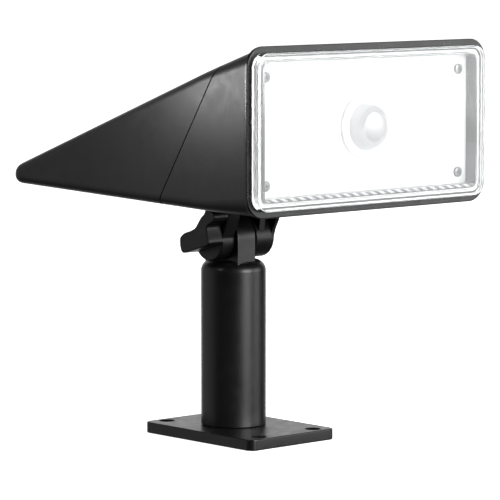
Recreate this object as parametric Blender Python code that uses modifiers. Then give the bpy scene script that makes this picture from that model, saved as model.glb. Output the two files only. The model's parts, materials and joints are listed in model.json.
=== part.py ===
"""Solar flood light: a wedge-shaped lamp head with a solar top, tilting on a clamped knuckle above a post.

Metres, +Z up, +X to the right of the lamp seen from its front, front towards -Y.
The origin is the centre of the base plate's underside.
"""

import math

import bmesh
import bpy
from mathutils import Matrix, Vector

# Gaps
GAP = 0.0003
SLIP = 0.0002

# Base and post
POLE_Y = 0.0042
PLATE_WIDTH = 0.056
PLATE_DEPTH = 0.0795
PLATE_THICK = 0.0055
PLATE_CORNER = 0.004
FIXING_X = 0.018
FIXING_Y = 0.0338
FIXING_R = 0.0026
FIXING_SINK_R = 0.0036
POLE_R = 0.016
POLE_WALL = 0.0026
FOOT_SCREW_RING = 0.0085
CAP_PLUG_LOW = 0.066
CAP_TOP = 0.0873
CAP_ROUND = 0.0054

# Knuckle
HINGE_Z = 0.098
BOLT_R = 0.003
TONGUE_LEFT = -0.008
TONGUE_RIGHT = 0.0036
TONGUE_R = 0.0123
LUG_R = 0.0104
LEFT_LUG = (-0.0165, -0.0083)
RIGHT_LUG = (0.0060, 0.0180)
KNOB_OUTER = -0.0263
KNOB_INNER = -0.0169

# Lamp head: depths are measured back (+) and forward (-) from the pole's axis
BEZEL_FRONT = -0.0956
BEZEL_BACK = -0.0935
BEZEL_WIDTH = 0.155
BEZEL_HEIGHT = 0.0784
BEZEL_CORNER = 0.010
WINDOW_WIDTH = 0.1464
WINDOW_HEIGHT = 0.0698
WINDOW_CORNER = 0.0057
TRAY_WIDTH = 0.1456
TRAY_HEIGHT = 0.0682
TRAY_FRONT = -0.0947
HEAD_Z = 0.1572
LENS_FRONT = -0.0990
LENS_BACK = -0.0951
LENS_INSET = 0.0031
LENS_WALL = 0.003
LENS_CORNER = 0.0069
REFLECTOR_FRONT = -0.0905
REFLECTOR_THICK = 0.0015
SENSOR_HOLE_R = 0.0123
CUP_X = 0.037
CUP_R = 0.017
FLOOR_FRONT = -0.0822
FLOOR_THICK = 0.0016
HOUSING_FRONT = -0.0933
HOUSING_TAIL = 0.0818
HOLLOW_END = 0.0688
HOUSING_HALF = 0.0764
HOUSING_WALL = 0.002
HOUSING_TOP_WALL = 0.0044
TOP_AT_FRONT = 0.1951
BOTTOM_AT_FRONT = 0.1187
TOP_SLOPE = math.radians(19.87)
BOTTOM_SLOPE = math.radians(1.81)
TAIL_CORNER = 0.010
TAIL_NOSE = 0.0036
SEAM_SLOPE = math.radians(32.6)
SEAM_DEPTH = -0.0658
SEAM_Z = 0.1749
SEAM_GAP = 0.0004
REFLECTOR_SCREWS = (0.0627, 0.0248)
HOUSING_SCREWS = ((0.045, 0.1755), (0.045, 0.1290))

# Solar panel and electronics
PANEL_WIDTH = 0.130
PANEL_FROM = -0.062
PANEL_TO = 0.066
PANEL_THICK = 0.0024
SEAL_THICK = 0.0004
CELL_R = 0.0092
CELL_LENGTH = 0.065
CELL_Z = 0.1412
CELL_DEPTHS = (-0.027, -0.007)
BOARD_Z = 0.130
BOARD_THICK = 0.0016
BUTTON_DEPTH = 0.040
BUTTON_R = 0.005
BRACKET_SCREWS = (0.0235, 0.0172)
BRACKET_THICK = 0.0022


def clear_scene():
    for obj in list(bpy.data.objects):
        bpy.data.objects.remove(obj, do_unlink=True)


def make_collection(name, hidden=False):
    found = bpy.data.collections.new(name)
    bpy.context.scene.collection.children.link(found)
    found.hide_render = hidden
    return found


clear_scene()
LIGHT = make_collection("solar_flood_light")
CUTTERS = make_collection("cutters", hidden=True)
MATERIALS = {}


def material(name, colour, roughness, metallic=0.0):
    """One Principled material for each name, made when it is first asked for."""
    if name not in MATERIALS:
        made = bpy.data.materials.new(name)
        made.use_nodes = True
        shader = made.node_tree.nodes["Principled BSDF"]
        shader.inputs["Base Color"].default_value = (*colour, 1.0)
        shader.inputs["Roughness"].default_value = roughness
        shader.inputs["Metallic"].default_value = metallic
        made.diffuse_color = (*colour, 1.0)
        MATERIALS[name] = made
    return MATERIALS[name]


def black_plastic():
    return material("black_plastic", (0.035, 0.036, 0.038), 0.45)


def white_plastic():
    return material("white_plastic", (0.90, 0.90, 0.89), 0.35)


def clear_plastic():
    return material("clear_plastic", (0.93, 0.95, 0.96), 0.08)


def milky_plastic():
    return material("milky_plastic", (0.82, 0.83, 0.84), 0.3)


def rubber():
    return material("rubber", (0.02, 0.02, 0.02), 0.8)


def steel():
    return material("steel", (0.55, 0.55, 0.56), 0.3, 1.0)


def board_green():
    return material("circuit_board", (0.03, 0.16, 0.07), 0.5)


def at(x, depth, z):
    """A point given by its depth behind the pole's axis."""
    return Vector((x, POLE_Y + depth, z))


def body_empty(name, place, parent=None):
    """An empty on a joint's axis, which the pieces of one body hang from."""
    empty = bpy.data.objects.new(name, None)
    empty.empty_display_size = 0.01
    LIGHT.objects.link(empty)
    empty.location = place
    bpy.context.view_layer.update()
    if parent:
        attach(empty, parent)
    return empty


def attach(obj, parent):
    """Parents obj where it stands."""
    bpy.context.view_layer.update()
    obj.parent = parent
    obj.matrix_parent_inverse = parent.matrix_world.inverted()


def mesh_object(name, mesh, surface=None):
    """A piece of the light when it has a surface, else a hidden cutter."""
    obj = bpy.data.objects.new(name, mesh)
    if surface:
        LIGHT.objects.link(obj)
        mesh.materials.append(surface)
    else:
        CUTTERS.objects.link(obj)
        obj.hide_render = True
        obj.display_type = "WIRE"
    return obj


def set_smooth(obj, angle=35.0):
    mesh = obj.data
    mesh.shade_smooth()
    mesh.set_sharp_from_angle(angle=math.radians(angle))


FACING = {
    "Z": Matrix.Identity(4),
    "Y": Matrix(((1, 0, 0, 0), (0, 0, -1, 0), (0, 1, 0, 0), (0, 0, 0, 1))),
    "X": Matrix(((0, 0, 1, 0), (1, 0, 0, 0), (0, 1, 0, 0), (0, 0, 0, 1))),
}


def prism(name, outlines, along, low, high, surface=None):
    """Closed outlines, the first around the others, extruded along one axis from low to high.

    Outline points are (x, y) for Z, (x, z) for Y and (y, z) for X.
    """
    curve = bpy.data.curves.new(name, "CURVE")
    curve.dimensions = "2D"
    curve.fill_mode = "BOTH"
    curve.extrude = (high - low) / 2
    for outline in outlines:
        spline = curve.splines.new("POLY")
        spline.points.add(len(outline) - 1)
        for point, (u, v) in zip(spline.points, outline):
            point.co = (u, v, 0.0, 1.0)
        spline.use_cyclic_u = True
    drawn = bpy.data.objects.new(name + "_outline", curve)
    CUTTERS.objects.link(drawn)
    bpy.context.view_layer.update()
    graph = bpy.context.evaluated_depsgraph_get()
    mesh = bpy.data.meshes.new_from_object(drawn.evaluated_get(graph))
    bpy.data.objects.remove(drawn)
    shape = bmesh.new()
    shape.from_mesh(mesh)
    bmesh.ops.remove_doubles(shape, verts=shape.verts, dist=1e-6)
    middle = (low + high) / 2
    axis = FACING[along].to_3x3() @ Vector((0.0, 0.0, 1.0))
    centre = Vector([abs(part) * middle for part in axis])
    bmesh.ops.transform(shape, matrix=Matrix.Translation(centre) @ FACING[along], verts=shape.verts)
    bmesh.ops.recalc_face_normals(shape, faces=shape.faces)
    shape.to_mesh(mesh)
    shape.free()
    mesh.materials.clear()
    return mesh_object(name, mesh, surface)


def box(name, low, high, surface=None):
    low, high = Vector(low), Vector(high)
    shape = bmesh.new()
    bmesh.ops.create_cube(shape, size=1.0)
    bmesh.ops.scale(shape, vec=high - low, verts=shape.verts)
    bmesh.ops.translate(shape, vec=(low + high) / 2, verts=shape.verts)
    mesh = bpy.data.meshes.new(name)
    shape.to_mesh(mesh)
    shape.free()
    return mesh_object(name, mesh, surface)


def cone(name, start, end, r_start, r_end, surface=None, segments=20):
    """A closed cone or cylinder between two points."""
    start, end = Vector(start), Vector(end)
    length = (end - start).length
    turn = (end - start).to_track_quat("Z", "Y").to_matrix().to_4x4()
    shape = bmesh.new()
    bmesh.ops.create_cone(
        shape, cap_ends=True, segments=segments, radius1=r_start, radius2=r_end, depth=length
    )
    bmesh.ops.transform(shape, matrix=Matrix.Translation((start + end) / 2) @ turn, verts=shape.verts)
    mesh = bpy.data.meshes.new(name)
    shape.to_mesh(mesh)
    shape.free()
    made = mesh_object(name, mesh, surface)
    set_smooth(made)
    return made


def turned(name, profile, base, direction, surface=None, steps=24):
    """A profile of (radius, height) turned about a line through base. It runs down the outer side.

    A profile whose ends leave the axis is closed into a ring.
    """
    mesh = bpy.data.meshes.new(name)
    points = [(radius, 0.0, height) for radius, height in profile]
    edges = [(i, i + 1) for i in range(len(points) - 1)]
    if profile[0][0] > 0.0:
        edges.append((len(points) - 1, 0))
    mesh.from_pydata(points, edges, [])
    made = mesh_object(name, mesh, surface)
    turn = Vector(direction).to_track_quat("Z", "Y").to_matrix().to_4x4()
    made.matrix_world = Matrix.Translation(base) @ turn
    spin = made.modifiers.new("turn", "SCREW")
    spin.steps = steps
    spin.render_steps = steps
    spin.use_merge_vertices = True
    spin.merge_threshold = 0.00001
    spin.use_smooth_shade = True
    return made


def loft(name, sections, surface=None):
    """A closed skin over sections that all have the same number of points."""
    shape = bmesh.new()
    rings = [[shape.verts.new(point) for point in section] for section in sections]
    count = len(rings[0])
    for near, far in zip(rings, rings[1:]):
        for i in range(count):
            j = (i + 1) % count
            shape.faces.new((near[i], near[j], far[j], far[i]))
    shape.faces.new(rings[0][::-1])
    shape.faces.new(rings[-1])
    bmesh.ops.recalc_face_normals(shape, faces=shape.faces)
    mesh = bpy.data.meshes.new(name)
    shape.to_mesh(mesh)
    shape.free()
    made = mesh_object(name, mesh, surface)
    set_smooth(made)
    return made


def combine(obj, other, operation):
    step = obj.modifiers.new(operation.lower(), "BOOLEAN")
    step.operation = operation
    step.object = other
    step.solver = "EXACT"
    return obj


def cut(obj, *others):
    for other in others:
        combine(obj, other, "DIFFERENCE")
    return obj


def join(obj, *others):
    for other in others:
        combine(obj, other, "UNION")
    return obj


def bevel(obj, width, segments=2, angle=50.0):
    step = obj.modifiers.new("bevel", "BEVEL")
    step.width = width
    step.segments = segments
    step.limit_method = "ANGLE"
    step.angle_limit = math.radians(angle)
    return obj


def rounded_rectangle(width, height, corner, centre=(0.0, 0.0), steps=5):
    points = []
    for quarter in range(4):
        sign_u = 1 if quarter in (0, 3) else -1
        sign_v = 1 if quarter in (0, 1) else -1
        mid_u = centre[0] + sign_u * (width / 2 - corner)
        mid_v = centre[1] + sign_v * (height / 2 - corner)
        for step in range(steps + 1):
            angle = math.pi / 2 * (quarter + step / steps)
            points.append((mid_u + corner * math.cos(angle), mid_v + corner * math.sin(angle)))
    return points


def circle(radius, centre, steps=32):
    turns = [2 * math.pi * i / steps for i in range(steps)]
    return [(centre[0] + radius * math.cos(a), centre[1] + radius * math.sin(a)) for a in turns]


def arc(radius, centre, first, last, steps):
    """Points on an arc, with angles in degrees."""
    angles = [math.radians(first + (last - first) * i / steps) for i in range(steps + 1)]
    return [(centre[0] + radius * math.cos(a), centre[1] + radius * math.sin(a)) for a in angles]


def cross_outline(arm, half):
    return [
        (arm, half), (half, half), (half, arm), (-half, arm), (-half, half), (-arm, half),
        (-arm, -half), (-half, -half), (-half, -arm), (half, -arm), (half, -half), (arm, -half),
    ]


def cross_recess(name, place, depth, arm):
    """The driver recess of a cross-head screw, sunk from z = 0 of the matrix place."""
    cutter = prism(name, [cross_outline(arm, arm * 0.28)], "Z", -depth, 0.001)
    cutter.matrix_world = place @ Matrix.Rotation(math.radians(15.0), 4, "Z")
    return cutter


def fastener(name, seat, direction, length, head_r, head_h, shank_r, sunk=False):
    """A cross-head screw. seat is where its head bears, and direction points out of its head."""
    if sunk:
        head = [(0.0, 0.0), (head_r, 0.0), (head_r, -0.0003), (shank_r, -head_h)]
        top = 0.0
    else:
        head = [
            (0.0, head_h), (head_r * 0.75, head_h * 0.85), (head_r, head_h * 0.3), (head_r, 0.0),
            (shank_r, 0.0),
        ]
        top = head_h
    tail = [(shank_r, -length + shank_r * 0.6), (shank_r * 0.35, -length), (0.0, -length)]
    screw = turned(name, head + tail, seat, direction, steel(), 12)
    place = Matrix.Translation(Vector(direction).normalized() * top) @ screw.matrix_world
    cut(screw, cross_recess(name + "_recess", place, head_h * 0.6, head_r * 0.55))
    return screw


def wire(name, points, radius, surface):
    """A lead along a smooth curve through its points."""
    path = [Vector(point) for point in points]
    ends = [2 * path[0] - path[1], *path, 2 * path[-1] - path[-2]]
    smooth = []
    for a, b, c, d in zip(ends, ends[1:], ends[2:], ends[3:]):
        for t in (0.0, 0.34, 0.67):
            smooth.append(
                0.5 * (2 * b + (c - a) * t + (2 * a - 5 * b + 4 * c - d) * t**2
                       + (3 * b - a - 3 * c + d) * t**3)
            )
    smooth.append(path[-1])
    curve = bpy.data.curves.new(name, "CURVE")
    curve.dimensions = "3D"
    curve.bevel_depth = radius
    curve.bevel_resolution = 1
    curve.use_fill_caps = True
    spline = curve.splines.new("POLY")
    spline.points.add(len(smooth) - 1)
    for point, place in zip(spline.points, smooth):
        point.co = (*place, 1.0)
    curve.materials.append(surface)
    obj = bpy.data.objects.new(name, curve)
    LIGHT.objects.link(obj)
    return obj


# Base and post


def base_plate():
    outline = rounded_rectangle(PLATE_WIDTH, PLATE_DEPTH, PLATE_CORNER)
    plate = bevel(prism("base_plate", [outline], "Z", 0.0, PLATE_THICK, black_plastic()), 0.0006, 1)
    for x in (-FIXING_X, FIXING_X):
        for y in (-FIXING_Y, FIXING_Y):
            low, high = Vector((x, y, -0.001)), Vector((x, y, PLATE_THICK + 0.001))
            sink = Vector((x, y, PLATE_THICK - 0.002))
            cut(plate, cone("fixing_hole", low, high, FIXING_R, FIXING_R))
            cut(plate, cone("fixing_sink", sink, high, FIXING_R, FIXING_SINK_R + 0.0005))
    for x, y in foot_screw_places():
        low, high = Vector((x, y, -0.001)), Vector((x, y, PLATE_THICK + 0.001))
        cut(plate, cone("foot_hole", low, high, 0.0019, 0.0019, segments=12))
        cut(plate, cone("foot_sink", low, Vector((x, y, 0.0026)), 0.0048, 0.0017, segments=12))
    return plate


def foot_screw_places():
    for turn in (90, 210, 330):
        angle = math.radians(turn)
        yield FOOT_SCREW_RING * math.cos(angle), POLE_Y + FOOT_SCREW_RING * math.sin(angle)


def foot_screws():
    for index, (x, y) in enumerate(foot_screw_places(), 1):
        seat = Vector((x, y, 0.0004))
        yield fastener(f"foot_screw_{index}", seat, (0, 0, -1), 0.014, 0.0031, 0.0017, 0.0015, sunk=True)


def foot_insert():
    low, high = PLATE_THICK + GAP, PLATE_THICK + 0.012
    insert = cone("foot_insert", at(0, 0, low), at(0, 0, high), 0.0130, 0.0128, black_plastic(), 32)
    for x, y in foot_screw_places():
        bottom, top = Vector((x, y, low - 0.001)), Vector((x, y, 0.0155))
        cut(insert, cone("foot_pilot", bottom, top, 0.0018, 0.0018, segments=12))
    return insert


def pole_tube():
    inner, low = POLE_R - POLE_WALL, PLATE_THICK + GAP
    profile = [*shoulder(inner, POLE_R, 4), (POLE_R, low), (inner, low)]
    tube = turned("pole_tube", profile, at(0, 0, 0), (0, 0, 1), black_plastic(), 40)
    for side in (-1, 1):
        start, end = cap_screw_line(side)
        cut(tube, cone("cap_screw_hole", start, end, 0.0017, 0.0017, segments=12))
    return tube


def shoulder(inner, outer, steps):
    """The rounded top edge of the post, from one radius out to another."""
    middle = POLE_R - CAP_ROUND
    first, last = (math.acos(min((radius - middle) / CAP_ROUND, 1.0)) for radius in (inner, outer))
    turns = [first + (last - first) * i / steps for i in range(steps + 1)]
    return [(middle + CAP_ROUND * math.cos(a), CAP_TOP - CAP_ROUND + CAP_ROUND * math.sin(a)) for a in turns]


def cap_screw_line(side):
    """The two ends of a line across the post's wall, at its back or its right."""
    angle = math.radians(45 - side * 45)
    way = Vector((math.cos(angle), math.sin(angle), 0.0))
    return at(0, 0, 0.0735) + way * 0.0095, at(0, 0, 0.0735) + way * 0.020


def cap_screws():
    for index, side in enumerate((-1, 1), 1):
        inside, outside = cap_screw_line(side)
        way = (outside - inside).normalized()
        seat = at(0, 0, 0.0735) + way * (POLE_R + SLIP)
        yield fastener(f"cap_screw_{index}", seat, way, 0.0065, 0.0026, 0.0017, 0.0013)


def knuckle_cap():
    plug, bore = POLE_R - POLE_WALL - GAP, 0.0100
    rounding = shoulder(POLE_R - CAP_ROUND, plug, 2)
    profile = [(0.0, CAP_TOP), *rounding, (plug, CAP_PLUG_LOW), (bore, CAP_PLUG_LOW), (bore, 0.0795),
               (0.0, 0.0795)]
    cap = turned("knuckle_cap", profile, at(0, 0, 0), (0, 0, 1), black_plastic(), 40)
    hinge = (POLE_Y, HINGE_Z)
    foot = CAP_TOP - 0.0002
    side = [(POLE_Y + 0.0123, foot), *arc(TONGUE_R, hinge, 0, 180, 12), (POLE_Y - 0.0123, foot)]
    tongue = bevel(prism("tongue", [side], "X", TONGUE_LEFT, TONGUE_RIGHT), 0.0007, 2)
    join(cap, tongue)
    start, end = Vector((-0.03, *hinge)), Vector((0.03, *hinge))
    cut(cap, cone("bush_bore", start, end, 0.0045, 0.0045))
    for side in (-1, 1):
        start, end = cap_screw_line(side)
        cut(cap, cone("cap_screw_pilot", start, end, 0.0016, 0.0016, segments=12))
    return cap


def tongue_bush():
    length = TONGUE_RIGHT - TONGUE_LEFT - 0.0002
    profile = [(0.0033, length), (0.0042, length), (0.0042, 0.0), (0.0033, 0.0)]
    base = at(TONGUE_LEFT + 0.0001, 0, HINGE_Z)
    return turned("tongue_bush", profile, base, (1, 0, 0), milky_plastic(), 24)


# Lamp head casings


def head_section(depth, inset=0.0, top_inset=None, steps=4):
    """The rounded rectangle of the lamp head's casing at one depth, as world points."""
    top_inset = inset if top_inset is None else top_inset
    half = HOUSING_HALF
    past_corner = depth - (HOUSING_TAIL - TAIL_CORNER)
    if past_corner > 0:
        half -= TAIL_CORNER - math.sqrt(max(TAIL_CORNER**2 - past_corner**2, 0.0))
    top = TOP_AT_FRONT - (depth - HOUSING_FRONT) * math.tan(TOP_SLOPE)
    bottom = BOTTOM_AT_FRONT + (depth - HOUSING_FRONT) * math.tan(BOTTOM_SLOPE)
    past_nose = depth - (HOUSING_TAIL - TAIL_NOSE)
    if past_nose > 0:
        shrink = TAIL_NOSE - math.sqrt(max(TAIL_NOSE**2 - past_nose**2, 0.0))
        top -= shrink
        bottom += shrink
    front_share = max(0.0, 1 - (depth - HOUSING_FRONT) / 0.03)
    corner = 0.0055 + 0.0035 * front_share - inset
    half, top, bottom = half - inset, top - top_inset, bottom + inset
    corner = max(min(corner, (top - bottom) / 2 - 0.0002), 0.0003)
    middle = (top + bottom) / 2
    outline = rounded_rectangle(2 * half, top - bottom, corner, (0.0, middle), steps)
    return [at(x, depth, z) for x, z in outline]


def casing_solid(name, surface=None):
    """The lamp head's outer form."""
    straight_end = HOUSING_TAIL - TAIL_CORNER
    depths = [HOUSING_FRONT, HOUSING_FRONT + 0.03]
    depths += [straight_end + TAIL_CORNER * part for part in (0, 0.5, 0.82, 0.95, 1.0)]
    return loft(name, [head_section(depth) for depth in depths], surface)


def casing_hollow(name, inset, top_inset, front, back, surface=None):
    """The space inside the lamp head's walls, between two depths."""
    depths = [front, HOUSING_FRONT + 0.03, back] if front < HOUSING_FRONT + 0.029 < back else [front, back]
    return loft(name, [head_section(depth, inset, top_inset) for depth in depths], surface)


def seam_slab(name, start, end):
    """A large slab parallel to the seam plane, between two distances behind it."""
    slab = box(name, (-0.12, start, -0.2), (0.12, end, 0.2))
    lean = Matrix.Rotation(SEAM_SLOPE, 4, "X")
    slab.matrix_world = Matrix.Translation(at(0, SEAM_DEPTH, SEAM_Z)) @ lean
    return slab


def front_housing():
    housing = casing_solid("front_housing", surface=black_plastic())
    cut(housing, casing_hollow("front_space", HOUSING_WALL, HOUSING_WALL, HOUSING_FRONT - 0.002, FLOOR_FRONT))
    behind_floor = FLOOR_FRONT + FLOOR_THICK
    cut(housing, casing_hollow("middle_space", HOUSING_WALL, HOUSING_WALL, behind_floor, HOLLOW_END))
    for x in (-REFLECTOR_SCREWS[0], REFLECTOR_SCREWS[0]):
        for rise in (-REFLECTOR_SCREWS[1], REFLECTOR_SCREWS[1]):
            front = at(x, REFLECTOR_FRONT + REFLECTOR_THICK + SLIP, HEAD_Z + rise)
            back = at(x, FLOOR_FRONT + 0.001, HEAD_Z + rise)
            join(housing, cone("reflector_post", front, back, 0.0034, 0.0038, segments=14))
            cut(housing, cone("reflector_pilot", front - Vector((0, 0.001, 0)), back, 0.0016, 0.0016,
                              segments=12))
    for side in (-1, 1):
        for x, z in HOUSING_SCREWS:
            start, end = at(side * x, FLOOR_FRONT - 0.001, z), at(side * x, FLOOR_FRONT + 0.003, z)
            cut(housing, cone("housing_screw_hole", start, end, 0.0018, 0.0018, segments=12))
    for x in (-CUP_X, 0.0, CUP_X):
        start, end = at(x, FLOOR_FRONT - 0.001, HEAD_Z), at(x, FLOOR_FRONT + 0.003, HEAD_Z)
        cut(housing, cone("lead_hole", start, end, 0.003, 0.003, segments=12))
    combine(housing, seam_slab("front_half", -0.3, -SEAM_GAP / 2), "INTERSECT")
    return housing


def panel_frame(name, depth, height, width, length):
    """A flat box in the plane of the sloping top, centred over one depth, between two heights above it."""
    low, high = height
    made = box(name, (-width / 2, -length / 2, low), (width / 2, length / 2, high))
    top = TOP_AT_FRONT - (depth - HOUSING_FRONT) * math.tan(TOP_SLOPE)
    made.matrix_world = Matrix.Translation(at(0, depth, top)) @ Matrix.Rotation(-TOP_SLOPE, 4, "X")
    return made


def panel_span():
    """The middle depth of the solar panel and its length along the slope."""
    return (PANEL_FROM + PANEL_TO) / 2, (PANEL_TO - PANEL_FROM) / math.cos(TOP_SLOPE)


def floor_z(depth):
    """The height of the casing's inner bottom wall."""
    return BOTTOM_AT_FRONT + (depth - HOUSING_FRONT) * math.tan(BOTTOM_SLOPE) + HOUSING_WALL


def rear_housing():
    housing = casing_solid("rear_housing", surface=black_plastic())
    cut(housing, casing_hollow("rear_space", HOUSING_WALL, HOUSING_TOP_WALL, HOUSING_FRONT, HOLLOW_END))
    combine(housing, seam_slab("rear_half", SEAM_GAP / 2, 0.3), "INTERSECT")
    for side in (-1, 1):
        for x, z in HOUSING_SCREWS:
            upper = z > HEAD_Z
            back = -0.046 if upper else -0.016
            front, end = at(side * x, FLOOR_FRONT + FLOOR_THICK + SLIP, z), at(side * x, back, z)
            join(housing, cone("housing_post", front, end, 0.0034, 0.0034, segments=8))
            if not upper:
                low, high = at(side * x - 0.001, -0.0255, 0.1205), at(side * x + 0.001, back, 0.1275)
                join(housing, box("post_rib", low, high))
            pilot_end = at(side * x, FLOOR_FRONT + 0.014, z)
            cut(housing, cone("housing_pilot", front - Vector((0, 0.001, 0)), pilot_end, 0.0016, 0.0016,
                              segments=8))
    for x in (-BRACKET_SCREWS[0], BRACKET_SCREWS[0]):
        for depth in (-BRACKET_SCREWS[1], BRACKET_SCREWS[1]):
            base = floor_z(depth)
            post = cone("bracket_post", at(x, depth, base - 0.001), at(x, depth, base + 0.0018),
                        0.0036, 0.0034, segments=8)
            join(housing, post)
            cut(housing, cone("bracket_pilot", at(x, depth, base - 0.004), at(x, depth, base + 0.0045),
                              0.0016, 0.0016, segments=8))
    depth, length = panel_span()
    recess = PANEL_THICK + SEAL_THICK + 2 * SLIP
    cut(housing, panel_frame("panel_recess", depth, (-recess, 0.01), PANEL_WIDTH + 2 * GAP, length + 2 * GAP))
    cut(housing, cone("panel_lead_hole", at(0.018, 0.022, 0.14), at(0.018, 0.022, 0.17), 0.0022, 0.0022,
                      segments=12))
    cut(housing, cone("button_hole", at(0, BUTTON_DEPTH, 0.11), at(0, BUTTON_DEPTH, 0.1285),
                      BUTTON_R + GAP, BUTTON_R + GAP))
    return housing


def board_frame():
    """A thin frame on the casing's floor, open around the button, with four posts under the control board."""
    frame = box("board_frame", (-0.029, 0.0215, SLIP), (0.029, 0.0585, 0.0014), black_plastic())
    frame.matrix_world = Matrix.Translation(at(0, 0, floor_z(0))) @ Matrix.Rotation(BOTTOM_SLOPE, 4, "X")
    for x in (-0.026, 0.026):
        for depth in (0.0245, 0.0545):
            low, high = at(x, depth, floor_z(depth) + 0.0006), at(x, depth, BOARD_Z - SLIP)
            join(frame, cone("board_post", low, high, 0.0026, 0.0022, segments=8))
    opening = box("frame_opening", at(-0.019, 0.0275, 0.11), at(0.019, 0.0525, 0.14))
    return cut(frame, opening)


def seam_gasket():
    front, back = HOUSING_FRONT + 0.015, HOLLOW_END - 0.02
    outer, inner = SLIP, 0.0014
    ring = casing_hollow("seam_gasket", HOUSING_WALL + outer, HOUSING_TOP_WALL + outer, front, back, rubber())
    cut(ring, casing_hollow("gasket_space", HOUSING_WALL + inner, HOUSING_TOP_WALL + inner, front - 0.001,
                            back + 0.001))
    combine(ring, seam_slab("gasket_slab", -0.0015, 0.0015), "INTERSECT")
    return ring


# Light chamber


def front_bezel():
    """A shallow frame with a narrow ledge that the lens cover sits on."""
    centre = (0.0, HEAD_Z)
    outer = rounded_rectangle(BEZEL_WIDTH, BEZEL_HEIGHT, BEZEL_CORNER, centre, 8)
    low, high = POLE_Y + BEZEL_FRONT, POLE_Y + BEZEL_BACK
    bezel = bevel(prism("front_bezel", [outer], "Y", low, high, black_plastic()), 0.0005, 1)
    window = rounded_rectangle(WINDOW_WIDTH, WINDOW_HEIGHT, WINDOW_CORNER, centre, 6)
    cut(bezel, prism("window", [window], "Y", low - 0.002, high + 0.002))
    pocket = rounded_rectangle(BEZEL_WIDTH - 2 * (LENS_INSET - GAP), BEZEL_HEIGHT - 2 * (LENS_INSET - GAP),
                               LENS_CORNER + GAP, centre, 8)
    cut(bezel, prism("lens_pocket", [pocket], "Y", low - 0.002, low + 0.0012))
    return bezel


def lens_cover():
    """A clear tray: a flat front with a short wall around it, open at the back, and a hole for the sensor."""
    centre = (0.0, HEAD_Z)
    width, height = BEZEL_WIDTH - 2 * LENS_INSET, BEZEL_HEIGHT - 2 * LENS_INSET
    outer = rounded_rectangle(width, height, LENS_CORNER, centre, 8)
    inner = rounded_rectangle(width - 2 * LENS_WALL, height - 2 * LENS_WALL, LENS_CORNER - LENS_WALL, centre)
    front, back = POLE_Y + LENS_FRONT, POLE_Y + LENS_BACK
    lens = prism("lens_cover", [outer], "Y", front, back, clear_plastic())
    bevel(lens, 0.0008, 2)
    cut(lens, prism("lens_hollow", [inner], "Y", front + 0.0017, back + 0.002))
    start, end = at(0, LENS_FRONT - 0.002, HEAD_Z), at(0, LENS_FRONT + 0.004, HEAD_Z)
    cut(lens, cone("sensor_window", start, end, SENSOR_HOLE_R, SENSOR_HOLE_R, segments=32))
    return lens


def lens_gasket():
    centre = (0.0, HEAD_Z)
    width, height = BEZEL_WIDTH - 2 * LENS_INSET - 0.0003, BEZEL_HEIGHT - 2 * LENS_INSET - 0.0003
    outer = rounded_rectangle(width, height, LENS_CORNER, centre, 6)
    inner = rounded_rectangle(WINDOW_WIDTH + 0.0003, WINDOW_HEIGHT + 0.0003, WINDOW_CORNER, centre, 6)
    back = POLE_Y + BEZEL_FRONT + 0.0012
    return prism("lens_gasket", [outer, inner], "Y", back - 0.0005, back - 0.0002, rubber())


def reflector_plate():
    centre = (0.0, HEAD_Z)
    width = 2 * (HOUSING_HALF - HOUSING_WALL) - 0.0012
    height = TOP_AT_FRONT - BOTTOM_AT_FRONT - 2 * HOUSING_WALL - 0.0040
    outline = rounded_rectangle(width, height, 0.0055, centre, 5)
    front = POLE_Y + REFLECTOR_FRONT
    plate = prism("reflector_plate", [outline], "Y", front, front + REFLECTOR_THICK, white_plastic())
    tray = rounded_rectangle(TRAY_WIDTH, TRAY_HEIGHT, 0.0051, centre, 5)
    join(plate, prism("tray", [tray], "Y", POLE_Y + TRAY_FRONT, front + 0.0004))
    chamber = rounded_rectangle(TRAY_WIDTH - 0.0054, TRAY_HEIGHT - 0.0036, 0.0036, centre, 5)
    cut(plate, prism("chamber", [chamber], "Y", POLE_Y + TRAY_FRONT - 0.001, front))
    for x in (-CUP_X, CUP_X):
        mouth, bottom = at(x, REFLECTOR_FRONT, HEAD_Z), at(x, REFLECTOR_FRONT + 0.0056, HEAD_Z)
        rim = mouth + Vector((0, 0.0004, 0))
        join(plate, cone("cup_outer", rim, bottom, CUP_R + 0.0012, 0.0092, segments=24))
        front_of_mouth = mouth - Vector((0, 0.0005, 0))
        behind = bottom + Vector((0, 0.0005, 0))
        cut(plate, cone("cup_inner", front_of_mouth, behind, CUP_R + 0.0008, 0.0072, segments=24))
    start, end = at(0, REFLECTOR_FRONT - 0.001, HEAD_Z), at(0, REFLECTOR_FRONT + 0.004, HEAD_Z)
    cut(plate, cone("sensor_hole", start, end, 0.0085, 0.0085))
    for x, z in reflector_screw_places():
        start, end = at(x, REFLECTOR_FRONT - 0.001, z), at(x, REFLECTOR_FRONT + 0.004, z)
        cut(plate, cone("screw_hole", start, end, 0.0018, 0.0018, segments=12))
    return plate


def reflector_screw_places():
    x, rise = REFLECTOR_SCREWS
    return [(-x, HEAD_Z + rise), (x, HEAD_Z + rise), (-x, HEAD_Z - rise), (x, HEAD_Z - rise)]


def reflector_screws():
    for index, (x, z) in enumerate(reflector_screw_places(), 1):
        seat = at(x, REFLECTOR_FRONT - SLIP, z)
        yield fastener(f"reflector_screw_{index}", seat, (0, -1, 0), 0.0075, 0.0025, 0.0017, 0.0013)


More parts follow.
